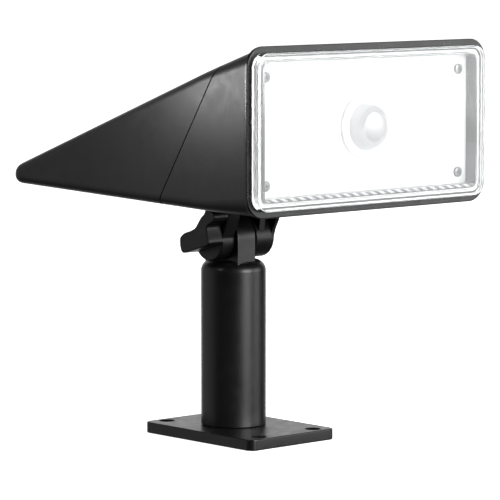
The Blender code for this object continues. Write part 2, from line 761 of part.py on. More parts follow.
def led_units():
    for side, x in (("left", -CUP_X), ("right", CUP_X)):
        front = FLOOR_FRONT - 0.0022
        board = cone(f"led_board_{side}", at(x, front, HEAD_Z), at(x, front + 0.0018, HEAD_Z), 0.0145, 0.0145,
                     material("led_board", (0.8, 0.8, 0.8), 0.4), 32)
        yield board
        yellow = material("led_phosphor", (0.95, 0.80, 0.25), 0.5)
        profile = [(0.0, 0.0016), (0.0048, 0.0015), (0.0062, 0.0006), (0.0062, 0.0), (0.0, 0.0)]
        yield turned(f"led_emitter_{side}", profile, at(x, front - SLIP, HEAD_Z), (0, -1, 0), yellow, 24)


def sensor_parts():
    ring_back = REFLECTOR_FRONT - SLIP
    profile = [(0.0100, 0.0018), (0.0142, 0.0018), (0.0150, 0.0008), (0.0150, 0.0), (0.0100, 0.0)]
    yield turned("sensor_ring", profile, at(0, ring_back, HEAD_Z), (0, -1, 0), white_plastic(), 32)
    dome_back = ring_back - 0.0018 - SLIP
    outer = dome_arc(0.0113, 0.0077)
    inner = dome_arc(0.0104, 0.0068)
    shell = [*outer, *inner[::-1]]
    yield turned("sensor_dome", shell, at(0, dome_back, HEAD_Z), (0, -1, 0), milky_plastic(), 28)
    board_front = FLOOR_FRONT - 0.0022
    board = rounded_rectangle(0.034, 0.030, 0.002, (0.0, HEAD_Z), 3)
    low = POLE_Y + board_front
    yield prism("sensor_board", [board], "Y", low, low + 0.0016, board_green())
    can = [(0.0, 0.0062), (0.0040, 0.0062), (0.0044, 0.0058), (0.0044, 0.0004), (0.0048, 0.0), (0.0, 0.0)]
    yield turned("sensor_can", can, at(0, board_front - SLIP, HEAD_Z), (0, -1, 0), steel(), 20)


def dome_arc(radius, height):
    """A quarter of an ellipse, from the dome's tip down to its rim."""
    turns = [math.pi / 2 * i / 5 for i in range(6)]
    return [(radius * math.sin(a), height * math.cos(a)) for a in turns]


# Rear compartment


def housing_screws():
    index = 0
    for side in (-1, 1):
        for x, z in HOUSING_SCREWS:
            index += 1
            seat = at(side * x, FLOOR_FRONT - SLIP, z)
            yield fastener(f"housing_screw_{index}", seat, (0, -1, 0), 0.0135, 0.0027, 0.0018, 0.0013)


def solar_panel():
    depth, length = panel_span()
    panel = panel_frame("solar_panel", depth, (-PANEL_THICK, 0.0), PANEL_WIDTH, length)
    return shown(panel, material("solar_glass", (0.02, 0.03, 0.09), 0.12))


def panel_seal():
    depth, length = panel_span()
    high = -PANEL_THICK - SLIP
    seal = panel_frame("panel_seal", depth, (high - SEAL_THICK, high), PANEL_WIDTH - 0.001, length - 0.001)
    cut(seal, panel_frame("seal_window", depth, (-0.02, 0.02), PANEL_WIDTH - 0.013, length - 0.013))
    return shown(seal, rubber())


def shown(obj, surface):
    """Moves a cutter's box into the light as a piece of its own."""
    CUTTERS.objects.unlink(obj)
    LIGHT.objects.link(obj)
    obj.hide_render = False
    obj.display_type = "TEXTURED"
    obj.data.materials.append(surface)
    return obj


def battery():
    wrap = material("cell_wrap", (0.05, 0.22, 0.45), 0.35)
    tip, edge = CELL_LENGTH + 0.0015, CELL_R - 0.0006
    for index, depth in enumerate(CELL_DEPTHS, 1):
        profile = [(0.0, tip), (0.003, tip), (0.003, CELL_LENGTH), (edge, CELL_LENGTH),
                   (CELL_R, CELL_LENGTH - 0.0006), (CELL_R, 0.0006), (edge, 0.0), (0.0, 0.0)]
        start = at(-CELL_LENGTH / 2, depth, CELL_Z)
        yield turned(f"battery_cell_{index}", profile, start, (1, 0, 0), wrap, 20)
    low = at(-0.0375, CELL_DEPTHS[0] - CELL_R - 0.0022, CELL_Z - CELL_R - 0.0018)
    high = at(0.0375, CELL_DEPTHS[1] + CELL_R + 0.0022, CELL_Z + 0.002)
    holder = box("cell_holder", low, high, black_plastic())
    inner_low = low + Vector((0.0018, 0.0018, 0.0014))
    inner_high = high - Vector((0.0018, 0.0018, -0.01))
    cut(holder, box("cell_space", inner_low, inner_high))
    yield holder


def control_parts():
    outline = rounded_rectangle(0.064, 0.040, 0.002, (0.0, POLE_Y + 0.039), 3)
    yield prism("control_board", [outline], "Z", BOARD_Z, BOARD_Z + BOARD_THICK, board_green())
    top = BOARD_Z - SLIP
    switch = material("switch_body", (0.06, 0.06, 0.06), 0.5)
    low, high = at(-0.003, BUTTON_DEPTH - 0.003, top - 0.0016), at(0.003, BUTTON_DEPTH + 0.003, top)
    yield box("mode_switch", low, high, switch)


def leads():
    red = material("lead_red", (0.5, 0.03, 0.02), 0.5)
    board_top = BOARD_Z + BOARD_THICK + GAP
    above = board_top + 0.004
    yield wire("solar_lead", [at(0.018, 0.022, 0.1508), at(0.018, 0.022, 0.1470), at(0.0175, 0.028, 0.142),
                              at(0.017, 0.034, above), at(0.017, 0.034, board_top)], 0.0008, red)
    yield wire("battery_lead", [at(0.0385, -0.017, 0.140), at(0.041, -0.008, 0.141), at(0.040, 0.008, 0.141),
                                at(0.031, 0.022, 0.140), at(0.027, 0.030, above), at(0.027, 0.030, board_top)],
               0.0008, red)
    for name, x, rest in (("led_lead_left", -CUP_X, -0.022), ("led_lead_right", CUP_X, 0.009),
                          ("sensor_lead", 0.0, -0.008)):
        path = [at(x, FLOOR_FRONT + GAP, HEAD_Z), at(x, FLOOR_FRONT + 0.006, HEAD_Z), at(x, -0.060, 0.1575),
                at(x * 0.9, -0.030, 0.1560), at(x * 0.8, -0.004, 0.1530), at(rest * 1.1, 0.012, 0.1475),
                at(rest, 0.026, above), at(rest, 0.026, board_top)]
        yield wire(name, path, 0.0008, red)


def mode_button():
    inner_wall = floor_z(BUTTON_DEPTH)
    flange_low = inner_wall + 0.0005
    outside = inner_wall - HOUSING_WALL - 0.0016
    flange_high = flange_low + 0.0009
    stem_high = BOARD_Z - SLIP - 0.0016 - 0.0012
    flange_r = BUTTON_R + 0.0014
    profile = [(0.0, stem_high), (0.0018, stem_high), (0.0018, flange_high), (flange_r, flange_high),
               (flange_r, flange_low), (BUTTON_R, flange_low), (BUTTON_R, outside + 0.0007),
               (BUTTON_R - 0.0007, outside), (0.0, outside)]
    return turned("mode_button", profile, at(0, BUTTON_DEPTH, 0), (0, 0, 1), rubber(), 28)


# Hinge bracket, knob and clamp


def lug_outline(front_top, back_top, top):
    """A lug's side: round at the hinge and widening up to the bracket's plate."""
    hinge = (POLE_Y, HINGE_Z)
    return [(POLE_Y + back_top, top), (POLE_Y + front_top, top), *arc(LUG_R, hinge, 165, 375, 12)]


def hinge_bracket():
    """A plate under the head with two lugs; the right one is a barrel held by a rib and a flared wall."""
    under = BOTTOM_AT_FRONT + (0.0 - HOUSING_FRONT) * math.tan(BOTTOM_SLOPE)
    plate = box("hinge_bracket", (-0.0275, -0.021, -BRACKET_THICK), (0.0275, 0.021, -SLIP), black_plastic())
    plate.matrix_world = Matrix.Translation(at(0, 0, under)) @ Matrix.Rotation(BOTTOM_SLOPE, 4, "X")
    bevel(plate, 0.0007, 1)
    top = under - 0.0014
    left = left_lug_outline(top)
    join(plate, bevel(prism("left_lug", [left], "X", *LEFT_LUG), 0.0006, 1))
    low, high = RIGHT_LUG
    barrel = cone("right_barrel", at(low, 0, HINGE_Z), at(high, 0, HINGE_Z), LUG_R, LUG_R, segments=32)
    rib = prism("rib", [lug_outline(-0.0125, 0.0110, top)], "X", low + 0.0018, low + 0.0056)
    join(plate, barrel, rib, flared_wall(top))
    hinge_left, hinge_right = at(-0.04, 0, HINGE_Z), at(0.04, 0, HINGE_Z)
    cut(plate, cone("bolt_bore", hinge_left, hinge_right, BOLT_R + 0.0004, BOLT_R + 0.0004))
    cut(plate, cone("nut_space", at(high - 0.0040, 0, HINGE_Z), at(high + 0.003, 0, HINGE_Z), 0.0061, 0.0061,
                    segments=6))
    for x in (-BRACKET_SCREWS[0], BRACKET_SCREWS[0]):
        for depth in (-BRACKET_SCREWS[1], BRACKET_SCREWS[1]):
            start, end = at(x, depth, under - 0.01), at(x, depth, under + 0.005)
            cut(plate, cone("bracket_hole", start, end, 0.0018, 0.0018, segments=12))
    return plate


def left_lug_outline(top):
    """The left lug leans forward as it rises, so its back edge curves in above the hinge."""
    back_edge = [(0.0068, HINGE_Z + 0.0083), (0.0042, HINGE_Z + 0.0112), (0.0022, HINGE_Z + 0.0150), (0.0014, top)]
    front_edge = [(-0.0165, top), (-0.0152, HINGE_Z + 0.0130), (-0.0122, HINGE_Z + 0.0060)]
    edges = [(POLE_Y + y, z) for y, z in back_edge + front_edge]
    return [*arc(LUG_R, (POLE_Y, HINGE_Z), 170, 392, 18), *edges]


def flared_wall(top):
    """The right lug's outer wall, leaning outwards as it rises from the barrel to the plate."""
    high = RIGHT_LUG[1]
    levels = ((HINGE_Z - 0.0060, 0.0070, 0.0), (HINGE_Z, 0.0103, 0.0), (HINGE_Z + 0.0040, 0.0112, 0.0004),
              (top, 0.0152, 0.0034))
    sections = []
    for z, half, lean in levels:
        inner, outer = high - 0.0024 + lean, high - 0.0001 + lean
        back = half * 0.9
        sections.append([at(inner, -half, z), at(outer, -half, z), at(outer, back, z), at(inner, back, z)])
    return loft("flared_wall", sections)


def bracket_screws():
    index = 0
    for x in (-BRACKET_SCREWS[0], BRACKET_SCREWS[0]):
        for depth in (-BRACKET_SCREWS[1], BRACKET_SCREWS[1]):
            index += 1
            under = BOTTOM_AT_FRONT + (depth - HOUSING_FRONT) * math.tan(BOTTOM_SLOPE) - BRACKET_THICK
            seat = at(x, depth, under - 0.0003)
            yield fastener(f"bracket_screw_{index}", seat, (0, 0, -1), 0.0082, 0.0027, 0.0018, 0.0013)


def hinge_nut():
    low, high = RIGHT_LUG[1] - 0.0037, RIGHT_LUG[1] - 0.0005
    nut = cone("hinge_nut", at(low, 0, HINGE_Z), at(high, 0, HINGE_Z), 0.0057, 0.0057, steel(), 6)
    bore = BOLT_R + 0.0003
    cut(nut, cone("nut_bore", at(low - 0.001, 0, HINGE_Z), at(high + 0.001, 0, HINGE_Z), bore, bore))
    return nut


def friction_washer():
    length = RIGHT_LUG[0] - TONGUE_RIGHT - 2 * SLIP
    profile = [(0.0034, length), (0.0085, length), (0.0085, 0.0), (0.0034, 0.0)]
    return turned("friction_washer", profile, at(TONGUE_RIGHT + SLIP, 0, HINGE_Z), (1, 0, 0), rubber(), 28)


def knob_outline():
    """The wing knob's side, as offsets back and up from the hinge's axis."""
    offsets = [
        (0.0102, 0.0012), (0.0070, 0.0034), (0.0027, 0.0046), (-0.0010, 0.0062), (-0.0032, 0.0090),
        (-0.0056, 0.0122), (-0.0096, 0.0150), (-0.0135, 0.0156), (-0.0157, 0.0137), (-0.0154, 0.0110),
        (-0.0120, 0.0092), (-0.0096, 0.0078), (-0.0102, 0.0046), (-0.0112, 0.0012), (-0.0114, -0.0008),
        (-0.0090, -0.0019), (0.0000, -0.0045), (0.0070, -0.0066), (0.0090, -0.0062), (0.0102, -0.0030),
    ]
    return [(POLE_Y + back, HINGE_Z + up) for back, up in offsets]


def clamp_knob():
    knob = prism("clamp_knob", [knob_outline()], "X", KNOB_OUTER, KNOB_INNER, black_plastic())
    bevel(knob, 0.0009, 2, 60.0)
    bore = BOLT_R + 0.0003
    cut(knob, cone("knob_bore", at(KNOB_OUTER + 0.0022, 0, HINGE_Z), at(0, 0, HINGE_Z), bore, bore))
    counterbore = at(KNOB_INNER - 0.0016, 0, HINGE_Z), at(0, 0, HINGE_Z)
    cut(knob, cone("washer_space", *counterbore, 0.0043, 0.0043))
    return knob


def knob_stud():
    low, high = KNOB_OUTER + 0.0025, RIGHT_LUG[1] - 0.0002
    length = high - low
    profile = [(0.0, length), (BOLT_R - 0.0006, length), (BOLT_R, length - 0.0006), (BOLT_R, 0.0006),
               (BOLT_R - 0.0006, 0.0), (0.0, 0.0)]
    return turned("knob_stud", profile, at(low, 0, HINGE_Z), (1, 0, 0), steel(), 24)


def clamp_washer():
    low, high = KNOB_INNER - 0.0014, LEFT_LUG[0] - SLIP
    length = high - low
    profile = [(0.00335, length), (0.0040, length), (0.0040, 0.0), (0.00335, 0.0)]
    return turned("clamp_washer", profile, at(low, 0, HINGE_Z), (1, 0, 0), steel(), 24)


def build():
    base = body_empty("post_axis", at(0, 0, 0))
    tilt = body_empty("tilt_axis", at(0, 0, HINGE_Z), base)
    washer_slide = body_empty("clamp_axis", at(KNOB_INNER, 0, HINGE_Z), tilt)
    knob_turn = body_empty("knob_axis", at(KNOB_OUTER, 0, HINGE_Z), washer_slide)
    button_slide = body_empty("button_axis", at(0, BUTTON_DEPTH, floor_z(BUTTON_DEPTH)), tilt)
    bodies = {
        base: [base_plate(), foot_insert(), pole_tube(), knuckle_cap(), tongue_bush(), *foot_screws(),
               *cap_screws()],
        tilt: [front_housing(), front_bezel(), lens_cover(), lens_gasket(), reflector_plate(),
               *reflector_screws(), *led_units(), *sensor_parts(), rear_housing(), seam_gasket(),
               *housing_screws(), solar_panel(), panel_seal(), *battery(), *control_parts(), *leads(),
               board_frame(),
               hinge_bracket(), *bracket_screws(), hinge_nut(), friction_washer()],
        washer_slide: [clamp_washer()],
        knob_turn: [clamp_knob(), knob_stud()],
        button_slide: [mode_button()],
    }
    for axis, pieces in bodies.items():
        for piece in pieces:
            attach(piece, axis)


build()
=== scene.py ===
"""Looks of the solar flood light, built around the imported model. Metres, +Z up, front towards -Y."""

import json
import math

import bmesh
import bpy
from mathutils import Matrix, Vector

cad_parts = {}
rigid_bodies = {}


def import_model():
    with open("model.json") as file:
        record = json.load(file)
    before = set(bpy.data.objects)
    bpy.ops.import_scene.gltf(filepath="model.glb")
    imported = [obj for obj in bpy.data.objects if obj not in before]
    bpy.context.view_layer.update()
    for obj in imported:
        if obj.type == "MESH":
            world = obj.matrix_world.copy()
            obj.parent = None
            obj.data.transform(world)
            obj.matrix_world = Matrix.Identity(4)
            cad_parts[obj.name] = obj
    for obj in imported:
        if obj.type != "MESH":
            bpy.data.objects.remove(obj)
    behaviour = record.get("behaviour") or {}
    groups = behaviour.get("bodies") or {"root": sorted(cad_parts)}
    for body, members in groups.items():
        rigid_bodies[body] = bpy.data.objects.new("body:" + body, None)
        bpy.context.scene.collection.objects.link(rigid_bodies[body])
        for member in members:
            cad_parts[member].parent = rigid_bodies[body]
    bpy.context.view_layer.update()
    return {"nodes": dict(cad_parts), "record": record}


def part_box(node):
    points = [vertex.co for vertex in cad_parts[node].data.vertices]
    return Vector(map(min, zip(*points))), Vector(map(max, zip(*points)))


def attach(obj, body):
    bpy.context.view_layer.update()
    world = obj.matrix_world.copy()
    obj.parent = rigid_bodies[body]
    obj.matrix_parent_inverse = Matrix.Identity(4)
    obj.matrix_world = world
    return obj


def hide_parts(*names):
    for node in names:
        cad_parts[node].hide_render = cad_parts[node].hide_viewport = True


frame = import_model()

# Sizes shared with the solid model
POLE_Y = 0.0042
PLATE_THICK = 0.0055
PLATE_CORNER = 0.004
POLE_R = 0.016
POLE_WALL = 0.0026
FIXING_X = 0.018
FIXING_Y = 0.0338
FIXING_R = 0.0026
CAP_TOP = 0.0873
CAP_ROUND = 0.0054
HINGE_Z = 0.098
TONGUE = (-0.008, 0.0036)
TONGUE_R = 0.0123
LUG_R = 0.0104
LEFT_LUG = (-0.0165, -0.0083)
RIGHT_LUG = (0.0060, 0.0180)
KNOB_X = (-0.0263, -0.0169)
BEZEL_FRONT = -0.0956
BEZEL_BACK = -0.0935
BEZEL_WIDTH = 0.155
BEZEL_HEIGHT = 0.0784
BEZEL_CORNER = 0.010
WINDOW_WIDTH = 0.1464
WINDOW_HEIGHT = 0.0698
WINDOW_CORNER = 0.0057
TRAY_WIDTH = 0.1456
TRAY_HEIGHT = 0.0682
TRAY_FRONT = -0.0947
HEAD_Z = 0.1572
LENS_FRONT = -0.0990
LENS_BACK = -0.0951
LENS_WIDTH = 0.1488
LENS_HEIGHT = 0.0722
LENS_WALL = 0.003
LENS_CORNER = 0.0069
REFLECTOR_FRONT = -0.0905
REFLECTOR_THICK = 0.0015
CUP_X = 0.037
FLOOR_FRONT = -0.0822
FLOOR_THICK = 0.0016
HOUSING_FRONT = -0.0933
HOUSING_TAIL = 0.0818
HOLLOW_END = 0.0688
HOUSING_HALF = 0.0764
HOUSING_WALL = 0.002
HOUSING_TOP_WALL = 0.0044
TOP_AT_FRONT = 0.1951
BOTTOM_AT_FRONT = 0.1187
TOP_SLOPE = math.radians(19.87)
BOTTOM_SLOPE = math.radians(1.81)
TAIL_CORNER = 0.010
TAIL_NOSE = 0.0036
SEAM_SLOPE = math.radians(32.6)
SEAM_DEPTH = -0.0658
SEAM_Z = 0.1749
SEAM_GAP = 0.0004
PANEL_WIDTH = 0.130
PANEL_SPAN = (-0.062, 0.066)
PANEL_THICK = 0.0024
BUTTON_DEPTH = 0.040
BUTTON_R = 0.005
BRACKET_SCREWS = (0.0235, 0.0172)
BRACKET_THICK = 0.0022
REFLECTOR_SCREW_X = 0.0627
REFLECTOR_SCREW_RISE = 0.0248
CAP_SCREW_Z = 0.0735
FOOT_SCREW_RING = 0.0085
CAP_FOOT = 0.066
SENSOR_RING_R = 0.015
SENSOR_RING_RISE = 0.0018
DOME_R = 0.0113
DOME_RISE = 0.0077
DOME_WALL = 0.0009

# Sizes of the finer forms alone
TINY = 0.0002
FIXING_SINK_R = 0.0044
TONGUE_HALF = 0.0122
TONGUE_SINK = 0.0030
LENS_PLATE = 0.0017
SENSOR_WINDOW = (0.0054, 0.01095)
CUP_EDGE_R = 0.0184
FRONT_CORNER = 0.009
BACK_CORNER = 0.0055
FRONT_TAPER = 0.03
CHAMBER_STEP_RISE = 0.0016
RIB_PITCH = 0.0057
FINGER_PITCH = 0.0009
FINGER_WIDTH = 0.00006
CELL_COLUMNS = 2
CELL_ROWS = 6
CELL_GAP = 0.0012
CELL_MARGIN = 0.010
RIBBON_WIDTH = 0.0013
THREAD_PITCH = 0.0007
STUD_BORE_R = 0.0033
NUT_R = 0.0057

# The room that the surfaces mirror
ROOM_DARK = 0.055
# Each bright place: its direction, the cosines where it starts and is full, and its strength
ROOM_LOBES = (((0.67, 0.742, 0.0), 0.70, 0.97, 1.15), ((-0.60, 0.80, 0.0), 0.70, 0.99, 0.42))
# Each lamp: its name, place, target, size and power in watts
LAMPS = (
    ("key_front", (0.26, -2.2, 0.9), (0.0, 0.0, 0.12), (1.3, 2.0), 92.0),
    ("fill_right", (1.9, -1.7, 0.6), (0.0, 0.0, 0.12), (1.2, 1.8), 24.0),
    ("rim_left", (-0.150, 0.004, 0.186), (-0.078, -0.078, 0.172), (0.02, 0.05), 0.08),
    ("top_soft", (0.0, 0.2, 2.4), (0.0, 0.0, 0.1), (2.0, 2.0), 12.0),
)
CAMERA_PLACE = (-1.04385, -1.15741, 0.25495)
CAMERA_DOWN = 5.966
CAMERA_SIDE = 42.242
CAMERA_LENS = 230.1
CAMERA_SENSOR = 36.0

HELPERS = bpy.data.collections.new("cutters")
bpy.context.scene.collection.children.link(HELPERS)
HELPERS.hide_render = True


def at(x, depth, z):
    """A point given by its depth behind the post's axis."""
    return Vector((x, POLE_Y + depth, z))


# Shapes


def mesh_object(name, mesh):
    obj = bpy.data.objects.new(name, mesh)
    HELPERS.objects.link(obj)
    return obj


def prism(name, outline, along, low, high):
    """A closed outline extruded along an axis from low to high."""
    order = {"X": (2, 0, 1), "Y": (0, 2, 1), "Z": (0, 1, 2)}[along]
    sections = []
    for end in (low, high):
        sections.append([Vector([(u, v, end)[part] for part in order]) for u, v in outline])
    return loft(name, sections)


def box(name, low, high):
    low, high = Vector(low), Vector(high)
    shape = bmesh.new()
    bmesh.ops.create_cube(shape, size=1.0)
    bmesh.ops.scale(shape, vec=high - low, verts=shape.verts)
    bmesh.ops.translate(shape, vec=(low + high) / 2, verts=shape.verts)
    mesh = bpy.data.meshes.new(name)
    shape.to_mesh(mesh)
    shape.free()
    return mesh_object(name, mesh)


def cone(name, start, end, r_start, r_end, segments=48):
    start, end = Vector(start), Vector(end)
    turn = (end - start).to_track_quat("Z", "Y").to_matrix().to_4x4()
    shape = bmesh.new()
    bmesh.ops.create_cone(
        shape, cap_ends=True, segments=segments, radius1=r_start, radius2=r_end, depth=(end - start).length
    )
    bmesh.ops.transform(shape, matrix=Matrix.Translation((start + end) / 2) @ turn, verts=shape.verts)
    mesh = bpy.data.meshes.new(name)
    shape.to_mesh(mesh)
    shape.free()
    return mesh_object(name, mesh)


def turned(name, profile, base, direction, steps=64):
    """A profile of (radius, height) turned about a line through base, as a closed skin."""
    turn = Vector(direction).to_track_quat("Z", "Y").to_matrix().to_4x4()
    place = Matrix.Translation(base) @ turn
    ring = profile[0][0] > 0.0
    shape = bmesh.new()
    rows = []
    for radius, height in profile:
        if radius == 0.0:
            rows.append([shape.verts.new(place @ Vector((0.0, 0.0, height)))])
            continue
        angles = [2 * math.pi * i / steps for i in range(steps)]
        points = [Vector((radius * math.cos(a), radius * math.sin(a), height)) for a in angles]
        rows.append([shape.verts.new(place @ point) for point in points])
    pairs = list(zip(rows, rows[1:])) + ([(rows[-1], rows[0])] if ring else [])
    for near, far in pairs:
        for i in range(steps):
            j = (i + 1) % steps
            corners = [near[i % len(near)], near[j % len(near)], far[j % len(far)], far[i % len(far)]]
            unique = list(dict.fromkeys(corners))
            if len(unique) > 2:
                shape.faces.new(unique)
    bmesh.ops.recalc_face_normals(shape, faces=shape.faces)
    mesh = bpy.data.meshes.new(name)
    shape.to_mesh(mesh)
    shape.free()
    return mesh_object(name, mesh)


def loft(name, sections):
    shape = bmesh.new()
    rings = [[shape.verts.new(point) for point in section] for section in sections]
    count = len(rings[0])
    for near, far in zip(rings, rings[1:]):
        for i in range(count):
            j = (i + 1) % count
            shape.faces.new((near[i], near[j], far[j], far[i]))
    shape.faces.new(rings[0][::-1])
    shape.faces.new(rings[-1])
    bmesh.ops.recalc_face_normals(shape, faces=shape.faces)
    mesh = bpy.data.meshes.new(name)
    shape.to_mesh(mesh)
    shape.free()
    return mesh_object(name, mesh)


def combine(obj, other, operation):
    step = obj.modifiers.new(operation.lower(), "BOOLEAN")
    step.operation = operation
    step.object = other
    step.solver = "EXACT"
    return obj


def cut(obj, *others):
    for other in others:
        combine(obj, other, "DIFFERENCE")
    return obj


def join(obj, *others):
    for other in others:
        combine(obj, other, "UNION")
    return obj


def bevel(obj, width, segments=3, angle=40.0):
    step = obj.modifiers.new("bevel", "BEVEL")
    step.width = width
    step.segments = segments
    step.limit_method = "ANGLE"
    step.angle_limit = math.radians(angle)
    step.use_clamp_overlap = True
    return obj


def rounded_rectangle(width, height, corner, centre=(0.0, 0.0), steps=10):
    points = []
    for quarter in range(4):
        sign_u = 1 if quarter in (0, 3) else -1
        sign_v = 1 if quarter in (0, 1) else -1
        mid_u = centre[0] + sign_u * (width / 2 - corner)
        mid_v = centre[1] + sign_v * (height / 2 - corner)
        for step in range(steps + 1):
            angle = math.pi / 2 * (quarter + step / steps)
            points.append((mid_u + corner * math.cos(angle), mid_v + corner * math.sin(angle)))
    return points


def arc(radius, centre, first, last, steps):
    angles = [math.radians(first + (last - first) * i / steps) for i in range(steps + 1)]
    return [(centre[0] + radius * math.cos(a), centre[1] + radius * math.sin(a)) for a in angles]


def rounded_outline(points, radius, steps=5):
    """The outline with each corner replaced by a smooth curve that starts at most radius from it."""
    made = []
    count = len(points)
    for i in range(count):
        before, corner, after = (Vector(points[(i + k) % count]) for k in (-1, 0, 1))
        back, on = before - corner, after - corner
        reach_back = min(radius, back.length * 0.48)
        reach_on = min(radius, on.length * 0.48)
        start = corner + back.normalized() * reach_back
        end = corner + on.normalized() * reach_on
        for step in range(steps + 1):
            t = step / steps
            made.append(tuple((1 - t) ** 2 * start + 2 * t * (1 - t) * corner + t**2 * end))
    return made


# Materials: every one is made of nodes that read the piece's own coordinates


class Nodes:
    """A Principled material and short ways to add nodes to it."""

    def __init__(self, name, **settings):
        self.material = bpy.data.materials.new(name)
        self.material.use_nodes = True
        self.tree = self.material.node_tree
        self.shader = self.tree.nodes["Principled BSDF"]
        for label, value in settings.items():
            self.shader.inputs[label.replace("_", " ")].default_value = value
        self.place = self.tree.nodes.new("ShaderNodeTexCoord").outputs["Object"]

    def link(self, source, target):
        self.tree.links.new(source, target)

    def noise(self, scale, detail=4.0, roughness=0.55, stretch=None):
        node = self.tree.nodes.new("ShaderNodeTexNoise")
        node.inputs["Scale"].default_value = scale
        node.inputs["Detail"].default_value = detail
        node.inputs["Roughness"].default_value = roughness
        self.link(self.stretched(stretch) if stretch else self.place, node.inputs["Vector"])
        return node.outputs["Fac"]

    def stretched(self, scale):
        node = self.tree.nodes.new("ShaderNodeMapping")
        node.inputs["Scale"].default_value = scale
        self.link(self.place, node.inputs["Vector"])
        return node.outputs["Vector"]

    def ramp(self, source, *stops):
        """Maps 0..1 through (position, colour) stops."""
        node = self.tree.nodes.new("ShaderNodeValToRGB")
        marks = node.color_ramp.elements
        while len(marks) < len(stops):
            marks.new(0.5)
        for mark, (position, colour) in zip(marks, stops):
            mark.position = position
            colour = (colour,) * 3 if isinstance(colour, float) else colour
            mark.color = (*colour, 1.0)
        self.link(source, node.inputs["Fac"])
        return node.outputs["Color"]

    def spread(self, source, low, high, start=0.3, end=0.7):
        node = self.tree.nodes.new("ShaderNodeMapRange")
        node.inputs["From Min"].default_value = start
        node.inputs["From Max"].default_value = end
        node.inputs["To Min"].default_value = low
        node.inputs["To Max"].default_value = high
        self.link(source, node.inputs["Value"])
        return node.outputs["Result"]

    def colour(self, source):
        self.link(source, self.shader.inputs["Base Color"])

    def roughness(self, source):
        self.link(source, self.shader.inputs["Roughness"])

    def bump(self, source, distance, strength=1.0):
        node = self.tree.nodes.new("ShaderNodeBump")
        node.inputs["Distance"].default_value = distance
        node.inputs["Strength"].default_value = strength
        self.link(source, node.inputs["Height"])
        previous = self.shader.inputs["Normal"].links
        if previous:
            self.link(previous[0].from_socket, node.inputs["Normal"])
        self.link(node.outputs["Normal"], self.shader.inputs["Normal"])

    def maths(self, operation, *values):
        node = self.tree.nodes.new("ShaderNodeMath")
        node.operation = operation
        for socket, value in zip(node.inputs, values):
            if isinstance(value, (int, float)):
                socket.default_value = value
            else:
                self.link(value, socket)
        return node.outputs["Value"]

    def axes(self):
        node = self.tree.nodes.new("ShaderNodeSeparateXYZ")
        self.link(self.place, node.inputs["Vector"])
        return node.outputs


def moulded_black(name, grain=2600.0, rough=(0.36, 0.46), tone=1.0):
    """Satin black ABS with a fine spark-eroded grain and faint flow marks."""
    made = Nodes(name, IOR=1.5)
    cloud = made.noise(28.0, 5.0, 0.6)
    low, high = 0.0034 * tone, 0.0052 * tone
    made.colour(made.ramp(cloud, (0.3, (low, low, low * 1.05)), (0.72, (high, high, high * 1.06))))
    made.roughness(made.spread(made.noise(160.0, 5.0, 0.62), *rough))
    made.bump(made.noise(grain, 2.0, 0.5), 0.000018, 0.55)
    made.bump(made.noise(55.0, 2.0, 0.5), 0.00003, 0.18)
    return made.material


def white_paint_with_painted_glow():
    # The faint emission is a painted glow: the white plate is no lamp, but it gives off light of its own so
    # it reads brighter.
    made = Nodes("reflector_white_painted_glow", IOR=1.46, Emission_Strength=0.04)
    made.shader.inputs["Emission Color"].default_value = (1.0, 1.0, 1.0, 1.0)
    made.colour(made.ramp(made.noise(40.0, 4.0), (0.3, (0.69, 0.70, 0.70)), (0.7, (0.74, 0.74, 0.73))))
    made.roughness(made.spread(made.noise(300.0), 0.24, 0.34))
    made.bump(made.noise(900.0, 2.0), 0.00001, 0.4)
    return made.material


def clear_cover():
    made = Nodes("clear_polycarbonate", Transmission_Weight=1.0, IOR=1.49)
    made.colour(made.ramp(made.noise(20.0), (0.3, (0.97, 0.985, 0.99)), (0.7, (0.985, 0.99, 0.99))))
    made.roughness(made.spread(made.noise(70.0, 5.0), 0.015, 0.035))
    made.bump(made.noise(35.0, 2.0), 0.00004, 0.12)
    return made.material


def chamber_wall():
    """Dark gloss with lighter vertical streaks in its colour that are painted reflections, standing in for
    how the inner wall looks through the clear cover; the metallic gloss itself is real.
    """
    made = Nodes("chamber_wall_gloss_painted_streaks", Metallic=0.65, IOR=1.5)
    painted_reflection_streaks = made.noise(60.0, 3.0, 0.5, (1, 1, 0.4))
    # Painted reflections: the lighter streaks in the colour stand in for light the wall mirrors, not a colour
    # it has.
    made.colour(made.ramp(painted_reflection_streaks, (0.38, (0.02, 0.02, 0.02)), (0.60, (0.17, 0.17, 0.18))))
    made.roughness(made.spread(made.noise(200.0), 0.06, 0.16))
    made.bump(made.noise(90.0, 2.0), 0.00002, 0.3)
    return made.material


def chamber_step():
    """Slanting dark ribs on a pale step."""
    made = Nodes("chamber_step_ribs", IOR=1.5)
    parts = made.axes()
    slope = made.maths("ADD", parts["X"], made.maths("MULTIPLY", parts["Z"], 2.2))
    share = made.maths("FRACT", made.maths("MULTIPLY", slope, 1 / RIB_PITCH))
    made.colour(made.ramp(share, (0.42, (0.04, 0.04, 0.04)), (0.60, (0.50, 0.50, 0.51))))
    made.roughness(made.spread(made.noise(200.0), 0.15, 0.30))
    made.bump(share, 0.0001, 0.4)
    return made.material


